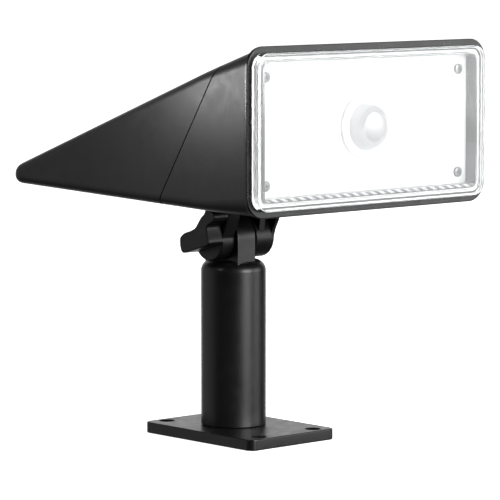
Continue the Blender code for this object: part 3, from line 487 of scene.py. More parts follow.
def milky_dome():
    """Translucent polyethylene with the moulded facets of a sensor lens, and a faint emission that is a
    painted glow.
    """
    made = Nodes("sensor_polyethylene_painted_glow", IOR=1.5, Transmission_Weight=0.25, Subsurface_Weight=0.35)
    made.shader.inputs["Subsurface Radius"].default_value = (0.002, 0.002, 0.002)
    # Painted glow: the dome is no lamp, but this emission makes it give off light so it stays pale.
    made.shader.inputs["Emission Color"].default_value = (1.0, 1.0, 1.0, 1.0)
    made.shader.inputs["Emission Strength"].default_value = 0.10
    made.colour(made.ramp(made.noise(60.0), (0.3, (0.58, 0.585, 0.60)), (0.7, (0.63, 0.635, 0.645))))
    made.roughness(made.spread(made.noise(200.0), 0.28, 0.40))
    cells = made.tree.nodes.new("ShaderNodeTexVoronoi")
    cells.feature = "DISTANCE_TO_EDGE"
    cells.inputs["Scale"].default_value = 380.0
    cells.inputs["Randomness"].default_value = 0.25
    made.link(made.place, cells.inputs["Vector"])
    made.bump(made.spread(cells.outputs["Distance"], 0.0, 1.0, 0.0, 0.09), 0.00006, 0.5)
    return made.material


def rubber():
    made = Nodes("rubber_black", IOR=1.5)
    made.colour(made.ramp(made.noise(120.0), (0.3, (0.010, 0.010, 0.010)), (0.7, (0.021, 0.021, 0.022))))
    made.roughness(made.spread(made.noise(500.0), 0.62, 0.82))
    made.bump(made.noise(2200.0, 3.0), 0.00003, 0.6)
    return made.material


def machined_steel(name="screw_steel", tone=(0.40, 0.41, 0.42), stretch=(1, 1, 14)):
    made = Nodes(name, Metallic=1.0)
    made.colour(made.ramp(made.noise(260.0, 5.0), (0.3, tuple(0.82 * t for t in tone)), (0.7, tone)))
    made.roughness(made.spread(made.noise(900.0, 4.0, 0.6, stretch), 0.20, 0.38))
    made.bump(made.noise(1500.0, 3.0, 0.5, stretch), 0.00001, 0.5)
    return made.material


def circuit_board():
    made = Nodes("circuit_board_green", IOR=1.5)
    tracks = made.tree.nodes.new("ShaderNodeTexBrick")
    tracks.inputs["Scale"].default_value = 160.0
    tracks.inputs["Mortar Size"].default_value = 0.06
    tracks.inputs["Color1"].default_value = (0.012, 0.075, 0.035, 1.0)
    tracks.inputs["Color2"].default_value = (0.016, 0.090, 0.042, 1.0)
    tracks.inputs["Mortar"].default_value = (0.05, 0.19, 0.09, 1.0)
    made.link(made.place, tracks.inputs["Vector"])
    made.colour(tracks.outputs["Color"])
    made.roughness(made.spread(made.noise(400.0), 0.3, 0.5))
    made.bump(tracks.outputs["Fac"], 0.00003, 0.5)
    return made.material


def plain_plastic(name, dark, light, rough=(0.3, 0.45)):
    made = Nodes(name, IOR=1.5)
    made.colour(made.ramp(made.noise(90.0, 4.0), (0.3, dark), (0.7, light)))
    made.roughness(made.spread(made.noise(300.0), *rough))
    made.bump(made.noise(1400.0, 2.0), 0.00001, 0.5)
    return made.material


def phosphor():
    """A yellow emitter face with the faint dots of the chips under it."""
    made = Nodes("emitter_phosphor", IOR=1.5)
    made.shader.inputs["Emission Color"].default_value = (1.0, 0.97, 0.85, 1.0)
    made.shader.inputs["Emission Strength"].default_value = 0.9
    cells = made.tree.nodes.new("ShaderNodeTexVoronoi")
    cells.inputs["Scale"].default_value = 520.0
    cells.inputs["Randomness"].default_value = 0.0
    made.link(made.place, cells.inputs["Vector"])
    made.colour(made.ramp(cells.outputs["Distance"], (0.15, (0.98, 0.80, 0.30)), (0.5, (0.99, 0.90, 0.55))))
    made.roughness(made.spread(made.noise(700.0), 0.35, 0.5))
    made.bump(cells.outputs["Distance"], 0.00004, 0.4)
    return made.material


def solar_silicon():
    """Dark blue silicon with fine silver fingers across each cell."""
    made = Nodes("solar_silicon", IOR=1.6, Coat_Weight=0.6, Coat_Roughness=0.05)
    parts = made.axes()
    line = made.maths("LESS_THAN", made.maths("PINGPONG", parts["Y"], FINGER_PITCH), FINGER_WIDTH)
    tone = made.ramp(made.noise(24.0, 6.0, 0.6), (0.3, (0.006, 0.010, 0.032)), (0.75, (0.012, 0.022, 0.070)))
    mix = made.tree.nodes.new("ShaderNodeMix")
    mix.data_type = "RGBA"
    made.link(made.maths("MULTIPLY", line, 0.55), mix.inputs["Factor"])
    made.link(tone, mix.inputs["A"])
    mix.inputs["B"].default_value = (0.32, 0.34, 0.38, 1.0)
    made.colour(mix.outputs["Result"])
    made.roughness(made.spread(made.noise(120.0), 0.16, 0.28))
    made.bump(line, 0.00001, 0.6)
    return made.material


def panel_glass():
    made = Nodes("panel_glass", IOR=1.45, Transmission_Weight=1.0)
    made.colour(made.ramp(made.noise(15.0), (0.3, (0.97, 0.98, 0.99)), (0.7, (0.99, 0.99, 1.0))))
    made.roughness(made.spread(made.noise(50.0), 0.02, 0.05))
    made.bump(made.noise(600.0, 2.0), 0.00001, 0.2)
    return made.material


BLACK = moulded_black("casing_black", tone=2.4)
BLACK_POST = moulded_black("post_black", 2300.0, (0.30, 0.40), 1.15)
BLACK_KNOB = moulded_black("knob_black", 2000.0, (0.34, 0.46), 0.9)
BLACK_RIM = moulded_black("bezel_black", 3000.0, (0.24, 0.34), 1.0)
SCREW_ZINC = machined_steel("screw_zinc", (0.17, 0.175, 0.18))
CHAMBER_WALL = chamber_wall()
CHAMBER_STEP = chamber_step()
WHITE_SILICONE = plain_plastic("gasket_silicone", (0.78, 0.79, 0.80), (0.86, 0.87, 0.87), (0.45, 0.6))
SURFACES = {
    "black_plastic": BLACK,
    "white_plastic": white_paint_with_painted_glow(),
    "clear_plastic": clear_cover(),
    "milky_plastic": milky_dome(),
    "rubber": rubber(),
    "steel": machined_steel(),
    "circuit_board": circuit_board(),
    "led_board": plain_plastic("emitter_board_white", (0.74, 0.75, 0.75), (0.82, 0.82, 0.81)),
    "led_phosphor": phosphor(),
    "solar_glass": panel_glass(),
    "cell_wrap": plain_plastic("cell_sleeve_blue", (0.03, 0.14, 0.33), (0.05, 0.20, 0.44), (0.2, 0.35)),
    "switch_body": plain_plastic("switch_black", (0.018, 0.018, 0.018), (0.03, 0.03, 0.03)),
    "lead_red": plain_plastic("lead_red_sleeve", (0.35, 0.015, 0.01), (0.47, 0.03, 0.02), (0.35, 0.5)),
}


def finish_mesh(obj, sharp=35.0):
    """Applies the modifiers, then smooths every edge that is flatter than the sharp angle."""
    bpy.context.view_layer.update()
    graph = bpy.context.evaluated_depsgraph_get()
    mesh = bpy.data.meshes.new_from_object(obj.evaluated_get(graph))
    mesh.transform(obj.matrix_world)
    obj.modifiers.clear()
    obj.matrix_world = Matrix.Identity(4)
    obj.data = mesh
    mesh.materials.clear()
    mesh.shade_smooth()
    mesh.set_sharp_from_angle(angle=math.radians(sharp))
    return obj


def show(obj, body, slot, surface=None, nodes=(), sharp=35.0):
    """Turns a built form into a piece of the light that rides on a body and stands for CAD nodes."""
    finish_mesh(obj, sharp)
    HELPERS.objects.unlink(obj)
    bpy.context.scene.collection.objects.link(obj)
    obj.data.materials.append(surface or SURFACES[slot])
    weight = obj.modifiers.new("normals", "WEIGHTED_NORMAL")
    weight.keep_sharp = True
    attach(obj, body)
    if nodes:
        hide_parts(*nodes)
    return obj


# Post and base


def countersunk(plate, x, y):
    top = PLATE_THICK
    cut(plate, cone("hole", (x, y, -0.001), (x, y, top + 0.001), FIXING_R, FIXING_R))
    cut(plate, cone("sink", (x, y, top - 0.0015), (x, y, top + 0.0003), FIXING_R, FIXING_SINK_R))


def base_plate():
    width, length = 0.056, 0.0795
    outline = rounded_rectangle(width, length, PLATE_CORNER, steps=10)
    plate = bevel(prism("mounting_plate", outline, "Z", 0.0, PLATE_THICK), 0.0006, 3)
    for x in (-FIXING_X, FIXING_X):
        for y in (-FIXING_Y, FIXING_Y):
            countersunk(plate, x, y)
    for turn in (90, 210, 330):
        x, y = foot_screw_place(turn)
        cut(plate, cone("foot_hole", (x, y, -0.001), (x, y, PLATE_THICK + 0.001), 0.0019, 0.0019, 24))
        cut(plate, cone("foot_sink", (x, y, -0.001), (x, y, 0.0026), 0.0048, 0.0017, 32))
    show(plate, "post", "black_plastic", BLACK_POST, ["base_plate"])


def foot_screw_place(turn):
    angle = math.radians(turn)
    return FOOT_SCREW_RING * math.cos(angle), POLE_Y + FOOT_SCREW_RING * math.sin(angle)


def shoulder(inner, outer, steps):
    """The rounded top edge of the post, from one radius out to another."""
    middle = POLE_R - CAP_ROUND
    first, last = (math.acos(min((radius - middle) / CAP_ROUND, 1.0)) for radius in (inner, outer))
    turns = [first + (last - first) * i / steps for i in range(steps + 1)]
    return [(middle + CAP_ROUND * math.cos(a), CAP_TOP - CAP_ROUND + CAP_ROUND * math.sin(a)) for a in turns]


def pole():
    inner, low = POLE_R - POLE_WALL, PLATE_THICK + 0.0003
    lip = 0.00035
    profile = [*shoulder(inner, POLE_R, 14), (POLE_R, low + lip), (POLE_R - lip * 0.3, low + lip * 0.3),
               (POLE_R - lip, low), (inner, low)]
    tube = turned("post_tube", profile, at(0, 0, 0), (0, 0, 1), 96)
    for side in (-1, 1):
        start, end = cap_screw_line(side)
        cut(tube, cone("cap_screw_hole", start, end, 0.0017, 0.0017, 24))
    show(tube, "post", "black_plastic", BLACK_POST, ["pole_tube"])


def cap_screw_line(side):
    """Where a cap screw starts and ends: the first is at the post's back, the second at its right."""
    angle = math.radians(45 - side * 45)
    way = Vector((math.cos(angle), math.sin(angle), 0.0))
    return at(0, 0, CAP_SCREW_Z) + way * 0.0095, at(0, 0, CAP_SCREW_Z) + way * 0.020


def knuckle_cap():
    plug = POLE_R - POLE_WALL - 0.00012
    rounding = shoulder(POLE_R - CAP_ROUND, plug, 6)
    profile = [(0.0, CAP_TOP), *rounding, (plug, CAP_FOOT), (0.0, CAP_FOOT)]
    cap = turned("post_cap", profile, at(0, 0, 0), (0, 0, 1), 96)
    hinge = (POLE_Y, HINGE_Z)
    foot = CAP_TOP - TONGUE_SINK
    side = [(POLE_Y + TONGUE_HALF, foot), *arc(TONGUE_R, hinge, 0, 180, 28), (POLE_Y - TONGUE_HALF, foot)]
    tongue = finish_mesh(bevel(prism("tongue", side, "X", *TONGUE), 0.0006, 2))
    join(cap, tongue)
    cut(cap, cone("bush_bore", (-0.03, *hinge), (0.03, *hinge), 0.0045, 0.0045))
    cut(cap, cone("cap_bore", at(0, 0, 0.060), at(0, 0, 0.0795), 0.0100, 0.0100))
    for turn in (-1, 1):
        start, end = cap_screw_line(turn)
        cut(cap, cone("cap_screw_pilot", start, end, 0.0016, 0.0016, 24))
    show(cap, "post", "black_plastic", BLACK_POST, ["knuckle_cap"])


# Screws


def cross_cutter(name, place, depth, arm):
    """A driver recess: two crossed tapering blades."""
    half = arm * 0.24
    outline = [(arm, half), (half, half), (half, arm), (-half, arm), (-half, half), (-arm, half),
               (-arm, -half), (-half, -half), (-half, -arm), (half, -arm), (half, -half), (arm, -half)]
    levels = [(0.0008, 1.25), (0.0, 1.0), (-depth * 0.6, 0.72), (-depth, 0.42)]
    sections = [[place @ Vector((u * size, v * size, z)) for u, v in outline] for z, size in levels]
    return loft(name, sections)


def pan_screw(name, node, body, seat, direction, length, head_r, head_h, shank_r):
    """A pan head screw with a domed head and a cross recess."""
    dome = [(head_r * math.sin(t) ** 0.8, head_h * (0.42 + 0.58 * math.cos(t) ** 0.8))
            for t in (0.0, 0.3, 0.55, 0.8, 1.0, 1.2, 1.38, 1.5)]
    dome[0] = (0.0, head_h)
    side = [(head_r, head_h * 0.36), (head_r, head_h * 0.14), (head_r * 0.97, 0.0), (shank_r, 0.0)]
    thread = []
    turns = int((length - 0.0012) / 0.0005)
    for turn in range(turns):
        height = -0.0004 - turn * 0.0005
        thread += [(shank_r, height), (shank_r * 0.84, height - 0.00025)]
    tail = [(shank_r * 0.8, -length + 0.0008), (shank_r * 0.3, -length), (0.0, -length)]
    screw = turned(name, dome + side + thread + tail, seat, direction, 40)
    turn = Vector(direction).to_track_quat("Z", "Y").to_matrix().to_4x4()
    top = Matrix.Translation(Vector(seat) + Vector(direction).normalized() * head_h) @ turn
    place = top @ Matrix.Rotation(math.radians(20), 4, "Z")
    cut(screw, cross_cutter(name + "_recess", place, head_h * 0.75, head_r * 0.52))
    show(screw, body, "steel", SCREW_ZINC, [node], 28.0)


def screws():
    for index, (side_x, side_z) in enumerate(((-1, 1), (1, 1), (-1, -1), (1, -1)), 1):
        x, z = side_x * REFLECTOR_SCREW_X, HEAD_Z + side_z * REFLECTOR_SCREW_RISE
        seat = at(x, REFLECTOR_FRONT - TINY, z)
        pan_screw(f"pan_screw_{index}", f"reflector_screw_{index}", "head", seat, (0, -1, 0),
                  length=0.0075, head_r=0.0025, head_h=0.0013, shank_r=0.0016)
    index = 0
    for x in (-BRACKET_SCREWS[0], BRACKET_SCREWS[0]):
        for depth in (-BRACKET_SCREWS[1], BRACKET_SCREWS[1]):
            index += 1
            under = BOTTOM_AT_FRONT + (depth - HOUSING_FRONT) * math.tan(BOTTOM_SLOPE) - BRACKET_THICK
            seat = at(x, depth, under - 0.0003)
            pan_screw(f"clamp_screw_{index}", f"bracket_screw_{index}", "head", seat, (0, 0, -1),
                      length=0.0082, head_r=0.0027, head_h=0.0013, shank_r=0.0016)
    for index, side in enumerate((-1, 1), 1):
        inside, outside = cap_screw_line(side)
        way = (outside - inside).normalized()
        seat = at(0, 0, CAP_SCREW_Z) + way * (POLE_R + TINY)
        pan_screw(f"post_screw_{index}", f"cap_screw_{index}", "post", seat, way,
                  length=0.0065, head_r=0.0026, head_h=0.0013, shank_r=0.0015)


# Lamp head casings


def head_section(depth, inset=0.0, top_inset=None, steps=9):
    """The wedge's outline at a depth, rounded at its tail, or the outline of the hollow in it."""
    top_inset = inset if top_inset is None else top_inset
    half = HOUSING_HALF
    past_corner = depth - (HOUSING_TAIL - TAIL_CORNER)
    if past_corner > 0:
        half -= TAIL_CORNER - math.sqrt(max(TAIL_CORNER**2 - past_corner**2, 0.0))
    top = TOP_AT_FRONT - (depth - HOUSING_FRONT) * math.tan(TOP_SLOPE)
    bottom = BOTTOM_AT_FRONT + (depth - HOUSING_FRONT) * math.tan(BOTTOM_SLOPE)
    past_nose = depth - (HOUSING_TAIL - TAIL_NOSE)
    if past_nose > 0:
        shrink = TAIL_NOSE - math.sqrt(max(TAIL_NOSE**2 - past_nose**2, 0.0))
        top -= shrink
        bottom += shrink
    front_share = max(0.0, 1 - (depth - HOUSING_FRONT) / FRONT_TAPER)
    corner = BACK_CORNER + (FRONT_CORNER - BACK_CORNER) * front_share - inset
    half, top, bottom = half - inset, top - top_inset, bottom + inset
    corner = max(min(corner, (top - bottom) / 2 - 0.0002), 0.0003)
    outline = rounded_rectangle(2 * half, top - bottom, corner, (0.0, (top + bottom) / 2), steps)
    return [at(x, depth, z) for x, z in outline]


def casing_solid(name):
    depths = [HOUSING_FRONT + FRONT_TAPER * i / 3 for i in range(4)]
    straight_end = HOUSING_TAIL - TAIL_CORNER
    depths += [straight_end + TAIL_CORNER * math.sin(math.pi / 2 * i / 12) for i in range(13)]
    return loft(name, [head_section(depth) for depth in depths])


def casing_hollow(name, inset, top_inset, front, back):
    taper_end = HOUSING_FRONT + FRONT_TAPER
    depths = [front, taper_end, back] if front < taper_end < back else [front, back]
    return loft(name, [head_section(depth, inset, top_inset) for depth in depths])


def seam_slab(name, start, end):
    slab = box(name, (-0.12, start, -0.2), (0.12, end, 0.2))
    lean = Matrix.Rotation(SEAM_SLOPE, 4, "X")
    slab.matrix_world = Matrix.Translation(at(0, SEAM_DEPTH, SEAM_Z)) @ lean
    return slab


def panel_frame(name, depth, height, width, length):
    low, high = height
    made = box(name, (-width / 2, -length / 2, low), (width / 2, length / 2, high))
    made.matrix_world = panel_place(depth)
    return made


def panel_place(depth):
    top = TOP_AT_FRONT - (depth - HOUSING_FRONT) * math.tan(TOP_SLOPE)
    return Matrix.Translation(at(0, depth, top)) @ Matrix.Rotation(-TOP_SLOPE, 4, "X")


def panel_span():
    first, last = PANEL_SPAN
    return (first + last) / 2, (last - first) / math.cos(TOP_SLOPE)


def casings():
    """The wedge, hollow, parted along a leaning seam into the front and rear housings."""
    front = casing_solid("casing_front")
    cut(front, casing_hollow("front_space", HOUSING_WALL, HOUSING_WALL, HOUSING_FRONT - 0.002, FLOOR_FRONT))
    floor_back = FLOOR_FRONT + FLOOR_THICK
    cut(front, casing_hollow("middle_space", HOUSING_WALL, HOUSING_WALL, floor_back, HOLLOW_END))
    combine(front, seam_slab("front_half", -0.3, -SEAM_GAP / 2), "INTERSECT")
    bevel(front, 0.0003, 2)
    show(front, "head", "black_plastic", BLACK, ["front_housing"])
    rear = casing_solid("casing_rear")
    cut(rear, casing_hollow("rear_space", HOUSING_WALL, HOUSING_TOP_WALL, HOUSING_FRONT, HOLLOW_END))
    combine(rear, seam_slab("rear_half", SEAM_GAP / 2, 0.3), "INTERSECT")
    depth, length = panel_span()
    cut(rear, panel_frame("recess", depth, (-0.0032, 0.01), PANEL_WIDTH + 0.0006, length + 0.0006))
    cut(rear, cone("button_hole", at(0, BUTTON_DEPTH, 0.11), at(0, BUTTON_DEPTH, 0.1285), 0.0053, 0.0053))
    bevel(rear, 0.0003, 2)
    show(rear, "head", "black_plastic", BLACK, ["rear_housing"])


# Light chamber


def bezel():
    centre = (0.0, HEAD_Z)
    outer = rounded_rectangle(BEZEL_WIDTH, BEZEL_HEIGHT, BEZEL_CORNER, centre, 14)
    low, high = POLE_Y + BEZEL_FRONT, POLE_Y + BEZEL_BACK
    rim = finish_mesh(bevel(prism("bezel_rim", outer, "Y", low, high), 0.0005, 3))
    window = rounded_rectangle(WINDOW_WIDTH, WINDOW_HEIGHT, WINDOW_CORNER, centre, 10)
    cut(rim, prism("window", window, "Y", low - 0.002, high + 0.002))
    pocket = rounded_rectangle(LENS_WIDTH + 0.0006, LENS_HEIGHT + 0.0006, LENS_CORNER + 0.0003, centre, 12)
    cut(rim, prism("lens_pocket", pocket, "Y", low - 0.002, low + 0.0012))
    show(rim, "head", "black_plastic", BLACK_RIM, ["front_bezel"])


def lens():
    """The clear tray that covers the chamber, with a window that follows the sensor dome."""
    centre = (0.0, HEAD_Z)
    outer = rounded_rectangle(LENS_WIDTH, LENS_HEIGHT, LENS_CORNER, centre, 14)
    inside = (LENS_WIDTH - 2 * LENS_WALL, LENS_HEIGHT - 2 * LENS_WALL, LENS_CORNER - LENS_WALL)
    inner = rounded_rectangle(*inside, centre, 12)
    front, back = POLE_Y + LENS_FRONT, POLE_Y + LENS_BACK
    tray = bevel(prism("lens_tray", outer, "Y", front, back), 0.0008, 4)
    cut(tray, bevel(prism("hollow", inner, "Y", front + LENS_PLATE, back + 0.002), 0.0004, 3))
    window = at(0, LENS_FRONT - 0.001, HEAD_Z), at(0, LENS_FRONT + LENS_PLATE + 0.001, HEAD_Z)
    cut(tray, cone("sensor_window", *window, *SENSOR_WINDOW, 96))
    show(tray, "head", "clear_plastic", None, ["lens_cover"], 30.0)


def pierce(plate, name, x, rise, radius, segments):
    """A round hole through the reflector's plate, placed from the middle of the head."""
    start, end = (at(x, REFLECTOR_FRONT + past, HEAD_Z + rise) for past in (-0.001, 0.004))
    cut(plate, cone(name, start, end, radius, radius, segments))


def reflector():
    """The white plate: a shallow tray towards the cover, with a cup round each emitter."""
    centre = (0.0, HEAD_Z)
    width = 2 * (HOUSING_HALF - HOUSING_WALL) - 0.0012
    height = TOP_AT_FRONT - BOTTOM_AT_FRONT - 2 * HOUSING_WALL - 0.0040
    outline = rounded_rectangle(width, height, 0.0055, centre, 8)
    front = POLE_Y + REFLECTOR_FRONT
    plate = prism("reflector_panel", outline, "Y", front, front + REFLECTOR_THICK)
    tray = rounded_rectangle(TRAY_WIDTH, TRAY_HEIGHT, 0.0051, centre, 10)
    join(plate, prism("tray", tray, "Y", POLE_Y + TRAY_FRONT, front + 0.0004))
    chamber = rounded_rectangle(TRAY_WIDTH - 0.0054, TRAY_HEIGHT - 0.0036, 0.0036, centre, 10)
    cut(plate, prism("chamber", chamber, "Y", POLE_Y + TRAY_FRONT - 0.001, front))
    for x in (-CUP_X, CUP_X):
        middle = at(x, REFLECTOR_FRONT, HEAD_Z)
        shell = [(0.0, 0.0004), (CUP_EDGE_R, 0.0004), (0.0096, 0.0056), (0.0, 0.0056)]
        join(plate, turned("cup_outer", shell, middle, (0, 1, 0), 72))
        bowl = [(0.0, 0.0062), (0.0070, 0.0062), (0.0072, 0.0054), (0.0090, 0.0046), (0.0115, 0.0036),
                (0.0140, 0.0023), (0.0160, 0.0012), (0.0172, 0.0004), (0.0182, -0.0004), (0.0, -0.0004)]
        cut(plate, turned("cup_inner", bowl, middle, (0, 1, 0), 72))
    pierce(plate, "sensor_hole", 0.0, 0.0, 0.0085, 48)
    for x in (-REFLECTOR_SCREW_X, REFLECTOR_SCREW_X):
        for rise in (-REFLECTOR_SCREW_RISE, REFLECTOR_SCREW_RISE):
            pierce(plate, "screw_hole", x, rise, 0.0018, 24)
    show(plate, "head", "white_plastic", None, ["reflector_plate"])


def chamber_lining():
    """The dark wall between the reflector and the cover, with a ribbed step along its foot."""
    centre = (0.0, HEAD_Z)
    width, height = TRAY_WIDTH - 0.0055, TRAY_HEIGHT - 0.0037
    front, back = POLE_Y + LENS_FRONT + 0.0019, POLE_Y + REFLECTOR_FRONT - 0.00005
    wall = prism("chamber_lining", rounded_rectangle(width, height, 0.0036, centre, 10), "Y", front, back)
    space = rounded_rectangle(width - 0.0026, height - 0.0004, 0.0034, centre, 10)
    cut(wall, prism("space", space, "Y", front - 0.001, back + 0.001))
    show(wall, "head", "black_plastic", CHAMBER_WALL)
    low, half = HEAD_Z - height / 2 + 0.0003, width / 2 - 0.0014
    step = box("chamber_step", (-half, front + 0.0004, low), (half, back, low + CHAMBER_STEP_RISE))
    show(bevel(step, 0.0003, 2), "head", "black_plastic", CHAMBER_STEP)


def emitters():
    for side, x in (("left", -CUP_X), ("right", CUP_X)):
        base = at(x, FLOOR_FRONT - 0.0022 - TINY, HEAD_Z)
        profile = [(0.0, 0.0016), (0.0040, 0.00155), (0.0050, 0.0014), (0.0054, 0.0009), (0.0056, 0.0007),
                   (0.0061, 0.0007), (0.0062, 0.0005), (0.0062, 0.0), (0.0, 0.0)]
        chip = turned(f"emitter_face_{side}", profile, base, (0, -1, 0), 64)
        show(chip, "head", "led_phosphor", None, [f"led_emitter_{side}"])


def dome_arc(radius, height, steps=20):
    """A quarter of an ellipse, from the dome's tip down to its foot."""
    turns = [math.pi / 2 * i / steps for i in range(steps + 1)]
    return [(radius * math.sin(a), height * math.cos(a)) for a in turns]


def sensor():
    """The dome on its ring, and the milky lip that lines the cover's window round the dome."""
    ring_back = at(0, REFLECTOR_FRONT - TINY, HEAD_Z)
    rise, edge = SENSOR_RING_RISE, SENSOR_RING_R
    profile = [(0.0100, 0.0017), (0.0102, rise), (0.0140, rise), (0.0145, 0.0016), (0.0149, 0.0011),
               (edge, 0.0006), (edge, 0.0), (0.0100, 0.0)]
    collar = turned("sensor_collar", profile, ring_back, (0, -1, 0), 96)
    show(collar, "head", "white_plastic", None, ["sensor_ring"])
    dome_back = at(0, REFLECTOR_FRONT - 2 * TINY - SENSOR_RING_RISE, HEAD_Z)
    inner_r, inner_rise = DOME_R - DOME_WALL, DOME_RISE - DOME_WALL
    shell = [*dome_arc(DOME_R, DOME_RISE), *dome_arc(inner_r, inner_rise)[::-1]]
    shell[0], shell[-1] = (0.0, DOME_RISE), (0.0, inner_rise)
    bubble = turned("sensor_bubble", shell, dome_back, (0, -1, 0), 96)
    show(bubble, "head", "milky_plastic", None, ["sensor_dome"])
    lip = [(0.00680, LENS_PLATE), (0.00710, LENS_PLATE), (0.00965, 0.0), (0.00935, 0.0)]
    lip_ring = turned("window_lip", lip, at(0, LENS_FRONT + LENS_PLATE, HEAD_Z), (0, -1, 0), 96)
    show(lip_ring, "head", "milky_plastic")


# Solar panel, button and hinge


def solar_panel():
    """A black tray with two columns of cells and their tinned ribbons, under a clear cover."""
    depth, length = panel_span()
    place = panel_place(depth)
    tray = panel_frame("panel_tray", depth, (-PANEL_THICK, -0.0012), PANEL_WIDTH, length)
    bevel(tray, 0.0002, 2)
    backsheet = plain_plastic("panel_backsheet", (0.008, 0.008, 0.010), (0.015, 0.015, 0.018))
    show(tray, "head", "black_plastic", backsheet)
    glass = panel_frame("panel_cover", depth, (-0.0008, 0.0), PANEL_WIDTH, length)
    bevel(glass, 0.0002, 2)
    show(glass, "head", "solar_glass", None, ["solar_panel"])
    cells = bmesh.new()
    ribbons = bmesh.new()
    cell_w = (PANEL_WIDTH - CELL_MARGIN - CELL_GAP * (CELL_COLUMNS - 1)) / CELL_COLUMNS
    cell_l = (length - CELL_MARGIN - CELL_GAP * (CELL_ROWS - 1)) / CELL_ROWS
    for column in range(CELL_COLUMNS):
        mid_x = (column - (CELL_COLUMNS - 1) / 2) * (cell_w + CELL_GAP)
        for row in range(CELL_ROWS):
            mid_y = (row - (CELL_ROWS - 1) / 2) * (cell_l + CELL_GAP)
            add_slab(cells, place, (mid_x, mid_y), (cell_w, cell_l), (-0.00118, -0.00100))
        for share in (-0.25, 0.25):
            middle, size = (mid_x + share * cell_w, 0.0), (RIBBON_WIDTH, length - 0.009)
            add_slab(ribbons, place, middle, size, (-0.00098, -0.00090))
    tin = machined_steel("ribbon_tin", (0.62, 0.62, 0.63), (14, 1, 1))
    for name, shape, slot, surface in (("solar_cells", cells, "solar_glass", solar_silicon()),
                                       ("cell_ribbons", ribbons, "steel", tin)):
        mesh = bpy.data.meshes.new(name)
        shape.to_mesh(mesh)
        shape.free()
        show(mesh_object(name, mesh), "head", slot, surface)


def add_slab(shape, place, middle, size, height):
    made = bmesh.ops.create_cube(shape, size=1.0)["verts"]
    bmesh.ops.scale(shape, vec=(*size, height[1] - height[0]), verts=made)
    bmesh.ops.translate(shape, vec=(*middle, (height[0] + height[1]) / 2), verts=made)
    bmesh.ops.transform(shape, matrix=place, verts=made)


def mode_button():
    low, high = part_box("mode_button")
    stem, flange, outside = 0.0018, 0.0064, low.z
    flange_low, flange_high = outside + 0.0041, outside + 0.0050
    profile = [(0.0, high.z), (stem, high.z), (stem, flange_high), (flange, flange_high),
               (flange, flange_low), (BUTTON_R, flange_low), (BUTTON_R, outside + 0.0007),
               (BUTTON_R - 0.0002, outside + 0.0002), (BUTTON_R - 0.0007, outside), (0.0034, outside),
               (0.0028, outside + 0.0003), (0.0, outside + 0.0005)]
    key = turned("mode_key", profile, at(0, BUTTON_DEPTH, 0), (0, 0, 1), 64)
    show(key, "mode_key", "rubber", None, ["mode_button"])


def lug_outline(front_top, back_top, top):
    """A lug's side view: round below the hinge, with straight edges up to the bracket's plate."""
    return [(POLE_Y + back_top, top), (POLE_Y + front_top, top), *arc(LUG_R, (POLE_Y, HINGE_Z), 165, 375, 40)]


def left_lug_outline(top):
    """The left lug leans forward as it rises, so its back edge curves in above the hinge."""
    back_edge = [(0.0068, HINGE_Z + 0.0083), (0.0042, HINGE_Z + 0.0112), (0.0022, HINGE_Z + 0.0150),
                 (0.0014, top)]
    front_edge = [(-0.0165, top), (-0.0152, HINGE_Z + 0.0130), (-0.0122, HINGE_Z + 0.0060)]
    edges = [(POLE_Y + y, z) for y, z in back_edge + front_edge]
    return [*arc(LUG_R, (POLE_Y, HINGE_Z), 170, 392, 40), *edges]


def flared_wall(top):
    """The right lug's outer wall, leaning outwards as it rises from the barrel to the plate."""
    high = RIGHT_LUG[1]
    levels = ((HINGE_Z - 0.0060, 0.0070, 0.0), (HINGE_Z - 0.0030, 0.0088, 0.0), (HINGE_Z, 0.0103, 0.0),
              (HINGE_Z + 0.0040, 0.0112, 0.0004), (HINGE_Z + 0.0085, 0.0126, 0.0014), (top, 0.0152, 0.0034))
    sections = []
    for z, half, lean in levels:
        inner, outer = high - 0.0024 + lean, high - 0.0001 + lean
        back = half * 0.9
        sections.append([at(inner, -half, z), at(outer, -half, z), at(outer, back, z), at(inner, back, z)])
    return loft("flared_wall", sections)


def bracket():
    """The plate under the head with its left lug, its right barrel and the rib and wall that hold it."""
    under = BOTTOM_AT_FRONT + (0.0 - HOUSING_FRONT) * math.tan(BOTTOM_SLOPE)
    plate = box("hinge_fork", (-0.027, -0.021, -BRACKET_THICK), (0.027, 0.021, -TINY))
    plate.matrix_world = Matrix.Translation(at(0, 0, under)) @ Matrix.Rotation(BOTTOM_SLOPE, 4, "X")
    bevel(plate, 0.0007, 3)
    finish_mesh(plate)
    top = under - 0.0014
    left = prism("left_lug", left_lug_outline(top), "X", *LEFT_LUG)
    low, high = RIGHT_LUG
    barrel = cone("right_barrel", at(low, 0, HINGE_Z), at(high, 0, HINGE_Z), LUG_R, LUG_R, 96)
    rib = prism("rib", lug_outline(-0.0125, 0.0110, top), "X", low + 0.0018, low + 0.0056)
    join(plate, finish_mesh(bevel(left, 0.0008, 3)), finish_mesh(bevel(barrel, 0.0008, 3)))
    join(plate, finish_mesh(bevel(rib, 0.0006, 3)), finish_mesh(bevel(flared_wall(top), 0.0006, 3)))
    cut(plate, cone("bolt_bore", at(-0.04, 0, HINGE_Z), at(0.04, 0, HINGE_Z), 0.0034, 0.0034))
    pocket = at(high - 0.0040, 0, HINGE_Z), at(high + 0.002, 0, HINGE_Z)
    cut(plate, cone("nut_space", *pocket, NUT_R + 0.0004, NUT_R + 0.0004, 6))
    for x in (-BRACKET_SCREWS[0], BRACKET_SCREWS[0]):
        for depth in (-BRACKET_SCREWS[1], BRACKET_SCREWS[1]):
            cut(plate, cone("bracket_hole", at(x, depth, under - 0.01), at(x, depth, under + 0.005),
                            0.0018, 0.0018, 24))
    show(plate, "head", "black_plastic", BLACK_KNOB, ["hinge_bracket"])


